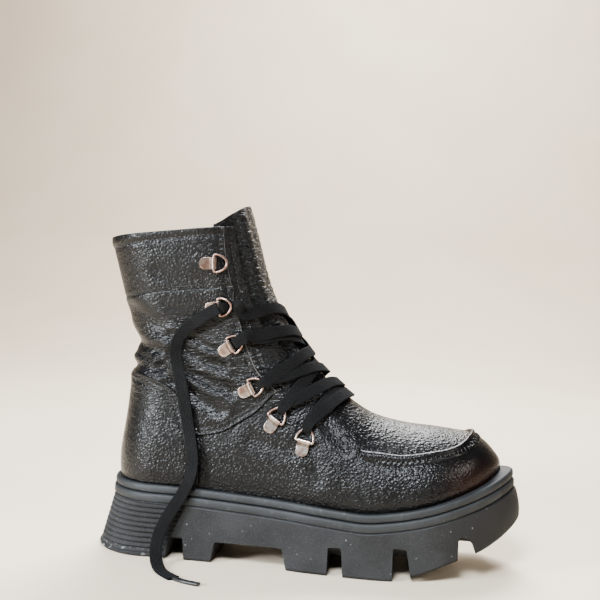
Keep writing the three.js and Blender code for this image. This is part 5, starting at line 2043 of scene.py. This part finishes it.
@dataclass
class LaceLoops:
    """The twelve bent plates and the D rings that they hold."""

    skin: Skin
    plate_metal: bpy.types.Material
    ring_metal: bpy.types.Material
    plate_width: float = 8.4
    plate_length: float = 8.2
    plate_thickness: float = 1
    plate_gap: float = 0.5
    wire: float = 1.8
    pin_clearance: float = 0.28
    barrel_wall: float = 0.8
    ring_span: float = 12.4
    ring_depth: float = 8.8
    over_quarter: float = 1.55

    def __post_init__(self) -> None:
        """Work out the barrel."""
        self.barrel = self.wire / 2 + self.pin_clearance + self.barrel_wall
        self.bar_height = self.barrel + 0.1

    def frame_of(self, number: int, side: Side) -> tuple[Array, Array]:
        """The frame of one loop: x to the ring's pull, y along its bar, z out.

        Args:
            number: The loop's number from the top, from 1.
            side: The side that it is on.

        Returns:
            Its origin, and its three directions as rows.
        """
        hook = HOOK_PLACES[number - 1]
        way = -side.value
        form = self.skin.form
        turn = hook.along * way
        point = form.surface(hook.row, turn)
        out = form.normal(hook.row, turn)
        step = form.surface(hook.row, turn + 0.01 * way) - form.surface(hook.row, turn - 0.01 * way)
        forward = unit(step)
        rotation = np.array(Matrix.Rotation(math.radians(hook.turn) * way, 3, Vector(out)))
        pull = unit(rotation @ forward)
        bar = unit(np.cross(out, pull))
        under = self.over_quarter if hook.on_quarter else 0
        return point + out * (self.plate_gap + under), np.stack([pull, bar, out])

    def placed(self, local: Array, number: int, side: Side) -> Array:
        """Points of a loop's own frame in the boot's frame."""
        origin, axes = self.frame_of(number, side)
        return origin + local @ axes

    def plate(self) -> Sheet:
        """One plate, bent round the ring's bar, in its own frame."""
        radius, thick = self.barrel, self.plate_thickness
        half = self.plate_width / 2
        low_arc = np.radians(np.linspace(-90, 32.4, 15))
        high_arc = np.radians(np.linspace(154.8, 32.4, 15))[:-1]
        sections = []
        spots = half * np.sin(np.linspace(-np.pi / 2, np.pi / 2, 25))
        for number, y in enumerate(spots):
            ends = abs(number - 12) / 12
            inset = 0.22 if ends == 1 else 0.07 if ends > 0.9 else 0.0
            round_off = half * 0.85 * (1 - math.sqrt(max(1 - (y / half) ** 2, 0)))
            back = -radius - self.plate_length + round_off
            r = radius - inset
            spread = np.linspace(0, 1, 6)
            foot = [(back + 0.25, 0.0 + inset), *[(mix(back + 0.6, 0, s), mix(inset, 0.1 + inset, s))
                                                  for s in spread[:-1]]]
            foot += [(r * math.cos(a), self.bar_height + r * math.sin(a)) for a in low_arc]
            top = [(back + 0.25, thick - 0.1 - inset)]
            top += [(mix(back + 0.6, -radius * 0.95, s), thick - inset) for s in spread[:-1]]
            top += [(r * math.cos(a), self.bar_height + r * math.sin(a)) for a in high_arc]
            outline = [*foot, *top[::-1]]
            front_points = [(x, y, z) for x, z in outline]
            sections.append([(back, y, thick / 2), *front_points, (back, y, thick / 2)])
        loops = np.array(sections)
        return band_solid(loops)

    def ring(self) -> Sheet:
        """One D ring in its own frame."""
        half, depth = self.ring_span / 2, self.ring_depth
        knots = [(0, -4.7), (0, 0), (0, 4.7), (0.5, half - 0.25), (2.6, half - 0.3), (5.6, 4.75),
                 (7.9, 2.7), (depth, 0), (7.9, -2.7), (5.6, -4.75), (2.6, 0.3 - half),
                 (0.5, 0.25 - half)]
        line = spline(knots, 8, closed=True)
        ahead = unit(np.roll(line, -1, axis=0) - np.roll(line, 1, axis=0))
        across = np.stack([ahead[:, 1], -ahead[:, 0]], axis=1)
        angles = np.arange(12) * 2 * np.pi / 12
        radius = self.wire / 2
        reach = (np.cos(angles) * radius)[None, :, None]
        flat = line[:, None, :] + across[:, None, :] * reach
        height = np.broadcast_to(self.bar_height + np.sin(angles) * radius, flat.shape[:2])
        loops = np.concatenate([flat, height[..., None]], axis=2)
        loops = np.concatenate([loops, loops[:1]])
        rows, count = loops.shape[:2]
        return Sheet(loops.reshape(-1, 3), grid_faces(rows, count, closed=True))

    def build(self) -> None:
        """Make all the plates and rings."""
        plate, ring = self.plate(), self.ring()
        for side in Side:
            word = side.name.lower()
            for number in range(1, len(HOOK_PLACES) + 1):
                tag = f"{word}_{number}"
                body = f"top_ring_{word}" if number == 1 else "boot"
                at = Sheet(self.placed(plate.points, number, side), plate.faces)
                make_piece(f"plate_{tag}", at, [self.plate_metal],
                           stands_for=[f"loop_plate_{tag}"], sharp=40)
                at = Sheet(self.placed(ring.points, number, side), ring.faces)
                make_piece(f"ring_{tag}", at, [self.ring_metal], body=body,
                           stands_for=[f"lace_ring_{tag}"])


LACE_ROUTE = (
    (63, -45.1, 175.6), (57.2, -44.8, 172.9), (50.5, -43.9, 169.2), (43.4, -42, 164.6),
    (35.5, -40.2, 158.6), (29.6, -39, 151.2), (27.5, -38.2, 142.5), (28.7, -37.8, 133.5),
    (31.6, -37.8, 122.5), (35, -38.4, 108.4), (38.2, -39.3, 94), (41.8, -40.9, 79),
    (44, -42.4, 66.5), (42.4, -44, 55.6), (37.6, -45.3, 45), (32.3, -46.3, 36),
    (27.6, -47.1, 27.6), (24.4, -48.1, 19.6), (23, -50, 12), (24, -54, 5.6),
    (27.5, -61.5, 2.1), (33, -71, 1.1), (41, -80, 1.1), (51, -87, 1.1), (63, -91, 1.1),
)


class Route(Enum):
    """How a strand turns round a ring's bow."""

    OVER = "over"
    UNDER = "under"
    COVER = "cover"


@dataclass(frozen=True)
class Strand:
    """One strand of the lace across the throat: the rings that it joins, the row at which
    it passes the middle, how high it rides there, and its turn at each ring."""

    lateral: int
    medial: int
    row: float
    height: float
    at_lateral: Route
    at_medial: Route


STRANDS = (
    Strand(6, 6, 11.85, 3.2, Route.OVER, Route.OVER),
    Strand(6, 5, 12.5, 2.7, Route.UNDER, Route.UNDER),
    Strand(5, 6, 12.65, 4.4, Route.UNDER, Route.UNDER),
    Strand(5, 4, 14.27, 2.7, Route.OVER, Route.UNDER),
    Strand(4, 5, 13.75, 4.3, Route.UNDER, Route.OVER),
    Strand(4, 3, 14.9, 4.9, Route.OVER, Route.UNDER),
    Strand(3, 4, 15.55, 2.9, Route.UNDER, Route.OVER),
    Strand(3, 2, 15.95, 4.5, Route.COVER, Route.UNDER),
    Strand(2, 3, 17.05, 3.0, Route.UNDER, Route.OVER),
)


@dataclass
class Laces:
    """The flat lace: its strands across the throat, and its free end."""

    skin: Skin
    loops: LaceLoops
    cotton: bpy.types.Material
    tip: bpy.types.Material
    width: float = 8.4
    thickness: float = 1.35
    ribs: int = 8
    tip_length: float = 20

    def profile(self) -> Array:
        """The lace's section, with its lengthwise rows, as shares of width and thickness."""
        steps = self.ribs * 3
        across = np.linspace(-0.5, 0.5, steps + 1)
        dip = 0.5 - 0.11 * (0.5 + 0.5 * np.cos(across * self.ribs * 2 * np.pi))
        edge = np.clip((0.5 - np.abs(across)) / 0.06, 0, 1)
        high = dip * np.sqrt(1 - (1 - edge) ** 2 * 0.8)
        top = np.stack([across, high], axis=1)
        low = np.stack([across[::-1], -high[::-1]], axis=1)
        return np.vstack([low[::-1], top[::-1]])

    def band(
        self, line: Array, outs: Array, width: Array, thickness: Array
    ) -> tuple[Sheet, Array]:
        """A woven band along a line.

        Args:
            line: The band's middle line.
            outs: The directions that its face looks in.
            width: Its width at each point.
            thickness: Its thickness at each point.

        Returns:
            Its mesh, and each point's place across and along it.
        """
        ahead = unit(np.gradient(line, axis=0))
        across = unit(np.cross(ahead, outs))
        up = unit(np.cross(across, ahead))
        profile = self.profile()
        wide = profile[None, :, 0, None] * width[:, None, None]
        high = profile[None, :, 1, None] * thickness[:, None, None]
        sections = line[:, None] + across[:, None] * wide + up[:, None] * high
        run = runs(line)
        place_across = np.broadcast_to(profile[:, 0] * self.width, sections.shape[:2])
        place_along = np.broadcast_to(run[:, None], sections.shape[:2])
        cloth = np.stack([place_across.ravel(), place_along.ravel()], axis=1)
        return band_solid(sections), cloth

    def near(self, point: Array, guess: tuple[float, float]) -> tuple[float, float]:
        """The row and turn on the leather that lie nearest to a point."""
        best = np.array(guess, float)
        step = 1.0
        while step > 0.01:
            tries = best + np.array([(0, 0), (step, 0), (-step, 0), (0, step / 16), (0, -step / 16)])
            turns = tries[:, 1]
            shares = np.where(turns <= 1, turns, turns - 2)
            away = np.linalg.norm(self.skin.form.surface(tries[:, 0], shares) - point, axis=1)
            best = tries[int(np.argmin(away))]
            step *= 0.7
        return float(best[0]), float(best[1])

    def ring_turn(self, number: int, side: Side, route: Route, through: bool) -> tuple[Array, Array, Array]:
        """The lace's turn round a ring's bow, from the throat into the ring's eye.

        Args:
            number: The ring's number.
            side: Its side.
            route: Whether the lace goes over or under the bow.
            through: Whether the lace comes on up over the bar.

        Returns:
            Points, face directions and widths, from the throat inwards.
        """
        if route is Route.OVER:
            steps = [(13.2, 3.3, 0, 1, 1.0), (10.8, 4.0, 0, 1, 0.9), (8.7, 4.05, 0, 1, 0.78),
                     (7.0, 3.35, -0.7, 0.7, 0.7), (6.3, 2.1, -1, 0, 0.66)]
        else:
            steps = [(13.2, 2.3, 0, 1, 1.0), (10.8, 1.1, 0, 1, 0.9), (8.7, 0.35, 0, 1, 0.78),
                     (7.0, 0.95, 0.7, 0.7, 0.7), (6.3, 2.1, 1, 0, 0.66)]
        if route is Route.COVER:
            steps = [(13.2, 3.4, 0, 1, 1.0), (10.4, 4.2, 0, 1, 0.97), (7.4, 4.75, 0, 1, 0.95),
                     (4.9, 4.8, -0.25, 1, 0.92), (3.5, 3.9, -0.8, 0.5, 0.84), (3.4, 2.6, -1, 0, 0.74)]
        if through:
            steps = steps[:3] + [(6.9, 0.9, 0.6, 0.8, 0.74), (5.6, 2.6, 0.85, 0.5, 0.74),
                                 (3.6, 4.6, 0.5, 0.85, 0.84), (1.0, 5.35, 0.06, 1, 0.94)]
        local = np.array([(x, 0.0, z) for x, z, *_ in steps])
        outs = np.array([(ox, 0.0, oz) for _, _, ox, oz, _ in steps])
        _, axes = self.loops.frame_of(number, side)
        return self.loops.placed(local, number, side), unit(outs @ axes), np.array([s[4] for s in steps])

    def strand(self, plan: Strand) -> tuple[Sheet, Array]:
        """One strand of the lace, from ring to ring."""
        form = self.skin.form
        through = plan.lateral == 2
        start, start_out, start_width = self.ring_turn(plan.lateral, Side.LATERAL, plan.at_lateral, through)
        end, end_out, end_width = self.ring_turn(plan.medial, Side.MEDIAL, plan.at_medial, False)
        top = form.surface(plan.row, 1.0) + form.normal(plan.row, 1.0) * 3.9
        points, outs = [], []
        for share in np.linspace(-1, 1, 9)[1:-1]:
            far = start[0] if share < 0 else end[0]
            chord = mix(top, far, abs(share))
            guess = (mix(plan.row, 9, abs(share) * 0.5), 1 + share * 0.3)
            row, turn = self.near(chord, guess)
            turn = turn if turn <= 1 else turn - 2
            out = form.normal(row, turn)
            height = mix(plan.height, 3.0, smooth((abs(share) - 0.35) / 0.6))
            points.append(form.surface(row, turn) + out * height)
            outs.append(out)
        line = np.vstack([start[::-1], points, end])
        face = np.vstack([start_out[::-1], outs, end_out])
        widths = np.concatenate([start_width[::-1], np.ones(len(points)), end_width])
        steps = 7
        fine = spline(line, steps)
        at = np.arange(len(fine)) / steps
        knots = np.arange(len(line))
        fine_out = unit(picked(face, knots, at))
        share = Curve(knots, widths)(at)
        width = self.width * share
        thickness = self.thickness * (1 + 0.35 * (1 - share))
        return self.band(fine, fine_out, width, thickness)

    def crossings(self) -> None:
        """Make the strands across the throat."""
        made = [self.strand(plan) for plan in STRANDS]
        sheet = joined([each for each, _ in made])
        cloth = np.vstack([each for _, each in made])
        make_piece("lace_strands", sheet, [self.cotton],
                   stands_for=["lace_crossings"], cloth=cloth)

    def free_end(self) -> None:
        """Make the lace's free end, which hangs down the outer side to the floor."""
        route = spline(LACE_ROUTE, 24)
        lengths = runs(route)
        total = lengths[-1]

        def part(start: float, end: float, spacing: float) -> Array:
            """The lace's middle line between two places along it."""
            at = np.linspace(start, end, int((end - start) / spacing) + 1)
            return picked(route, lengths, at)

        def faces(line: Array) -> Array:
            """Directions that the lace's face looks in."""
            lying = smooth((16 - line[:, 2]) / 13)[:, None]
            hanging = np.array([0, -1, 0.12]) + np.zeros(line.shape)
            twist = 0.45 * bell((line[:, 2] - 150) / 14) - 0.35 * bell((line[:, 2] - 62) / 16)
            hanging[:, 0] = twist
            return unit(mix(hanging, np.array([0, 0, 1.0]), lying))

        tip_start = total - self.tip_length
        line = part(6.0, tip_start - 0.2, 1.1)
        count = len(line)
        sheet, cloth = self.band(
            line, faces(line), np.full(count, self.width), np.full(count, self.thickness)
        )
        lace = make_piece("lace_end", sheet, [self.cotton],
                          stands_for=["lace_end_lateral"], cloth=cloth)
        line_tip = part(tip_start, total, 1.0)
        count = len(line_tip)
        narrow = np.full(count, self.width * 0.42)
        sheet, cloth = self.band(line_tip, faces(line_tip), narrow, np.full(count, 1.9))
        tip = make_piece("lace_end_tip", sheet, [self.tip],
                         stands_for=["lace_tip_lateral"], cloth=cloth)

    def build(self) -> None:
        """Make the lace."""
        self.crossings()
        self.free_end()


@dataclass(frozen=True)
class Lamp:
    """One soft light."""

    name: str
    place: tuple[float, float, float]
    size: float
    power: float
    colour: Colour
    aim: tuple[float, float, float] = (0.12, 0.0, 0.1)


@dataclass
class Studio:
    """The floor, the lights and the camera."""

    floor_material: bpy.types.Material
    lens: float = 54
    sensor: float = 36
    drop: float = -0.036
    camera_place: tuple[float, float, float] = (0.189811, -0.645, 0.186767)
    right: tuple[float, float, float] = (0.991054, 0.126722, 0.041871)
    up: tuple[float, float, float] = (-0.039671, -0.019835, 0.999016)
    forward: tuple[float, float, float] = (-0.127428, 0.991740, 0.014630)
    sweep_start: float = 1.3
    sweep_radius: float = 1.6
    lamps: tuple[Lamp, ...] = (
        Lamp("window", (0.0, -0.95, 1.0), 0.42, 27.0, (0.90, 0.95, 1.0)),
        Lamp("low_window", (-0.8, -0.8, 0.4), 0.32, 24.0, (0.90, 0.95, 1.0)),
        Lamp("side", (1.1, -0.5, 0.6), 0.4, 4.0, (1.0, 0.93, 0.86)),
        Lamp("back", (0.2, 1.0, 1.4), 0.9, 36.0, (0.95, 0.97, 1.0)),
        Lamp("wall", (0.1, 1.5, 2.6), 1.2, 90.0, (1.0, 0.98, 0.95), (0.1, 2.9, 0.9)),
    )

    def camera(self) -> None:
        """Set the camera at the photograph's angle."""
        data = bpy.data.cameras.new("camera")
        data.lens = self.lens
        data.sensor_width = self.sensor
        data.shift_y = self.drop
        data.clip_start = 0.01
        camera = bpy.data.objects.new("camera", data)
        back = tuple(-value for value in self.forward)
        columns = (self.right, self.up, back, self.camera_place)
        camera.matrix_world = Matrix([[column[k] for column in columns] for k in range(3)] + [[0, 0, 0, 1]])
        bpy.context.scene.collection.objects.link(camera)
        bpy.context.scene.camera = camera

    def floor(self) -> None:
        """Lay the floor, which bends up behind into a plain backdrop."""
        bend = np.radians(np.linspace(0, 90, 25))
        profile = [(-5.0, 0.0)]
        profile += [(self.sweep_start + self.sweep_radius * math.sin(a),
                     self.sweep_radius * (1 - math.cos(a))) for a in bend]
        profile.append((self.sweep_start + self.sweep_radius, 6.0))
        points = np.array([[(x, y, z) for y, z in profile] for x in (6, -6)]).reshape(-1, 3)
        mesh = bpy.data.meshes.new("floor")
        mesh.from_pydata(points.tolist(), [], grid_faces(2, len(profile)).tolist())
        mesh.polygons.foreach_set("use_smooth", [True] * len(mesh.polygons))
        mesh.materials.append(self.floor_material)
        floor = bpy.data.objects.new("floor", mesh)
        bpy.context.scene.collection.objects.link(floor)

    def lights(self) -> None:
        """Hang the lights and tint the room."""
        for lamp in self.lamps:
            data = bpy.data.lights.new(lamp.name, "AREA")
            data.shape = "DISK"
            data.size = lamp.size
            data.energy = lamp.power
            data.color = lamp.colour
            light = bpy.data.objects.new(lamp.name, data)
            light.location = lamp.place
            aim = Vector(lamp.aim) - Vector(lamp.place)
            light.rotation_euler = aim.to_track_quat("-Z", "Y").to_euler()
            bpy.context.scene.collection.objects.link(light)
        world = bpy.data.worlds.new("room")
        world.use_nodes = True
        sky = world.node_tree.nodes["Background"]
        sky.inputs["Color"].default_value = (0.93, 0.95, 1.0, 1.0)
        sky.inputs["Strength"].default_value = 0.05
        bpy.context.scene.world = world
        view = bpy.context.scene.view_settings
        if view.view_transform == "AgX":
            view.look = "AgX - Medium High Contrast"

    def build(self) -> None:
        """Set the stage."""
        self.camera()
        self.floor()
        self.lights()


def main() -> None:
    """Build the boot and its stage."""
    logging.basicConfig(level=logging.INFO, format="%(message)s")
    form = BootForm()
    skin = Skin(form)
    leather = GrainedLeather().material()
    smooth_leather = GrainedLeather("ridge_leather", pebble=1.7, height=0.13).material()
    lining = LiningLeather().material()
    Studio(PALE_FLOOR.material()).build()
    loops = LaceLoops(
        skin,
        LoopMetal("plate_metal").material(),
        LoopMetal("ring_metal", (0.40, 0.33, 0.30), (0.26, 0.15, 0.12)).material(),
    )
    Laces(skin, loops, WovenCotton().material(), DIPPED_TIP.material()).build()
    loops.build()
    upper = Upper(
        skin, leather, smooth_leather, RawEdge().material(), lining, SEWING_THREAD.material()
    )
    upper.build()
    Tongue(skin, upper, ShrunkLeather().material()).build()
    Bottom(form, SoleRubber().material(), RimRubber().material(), lining).build()


if __name__ == "__main__":
    main()
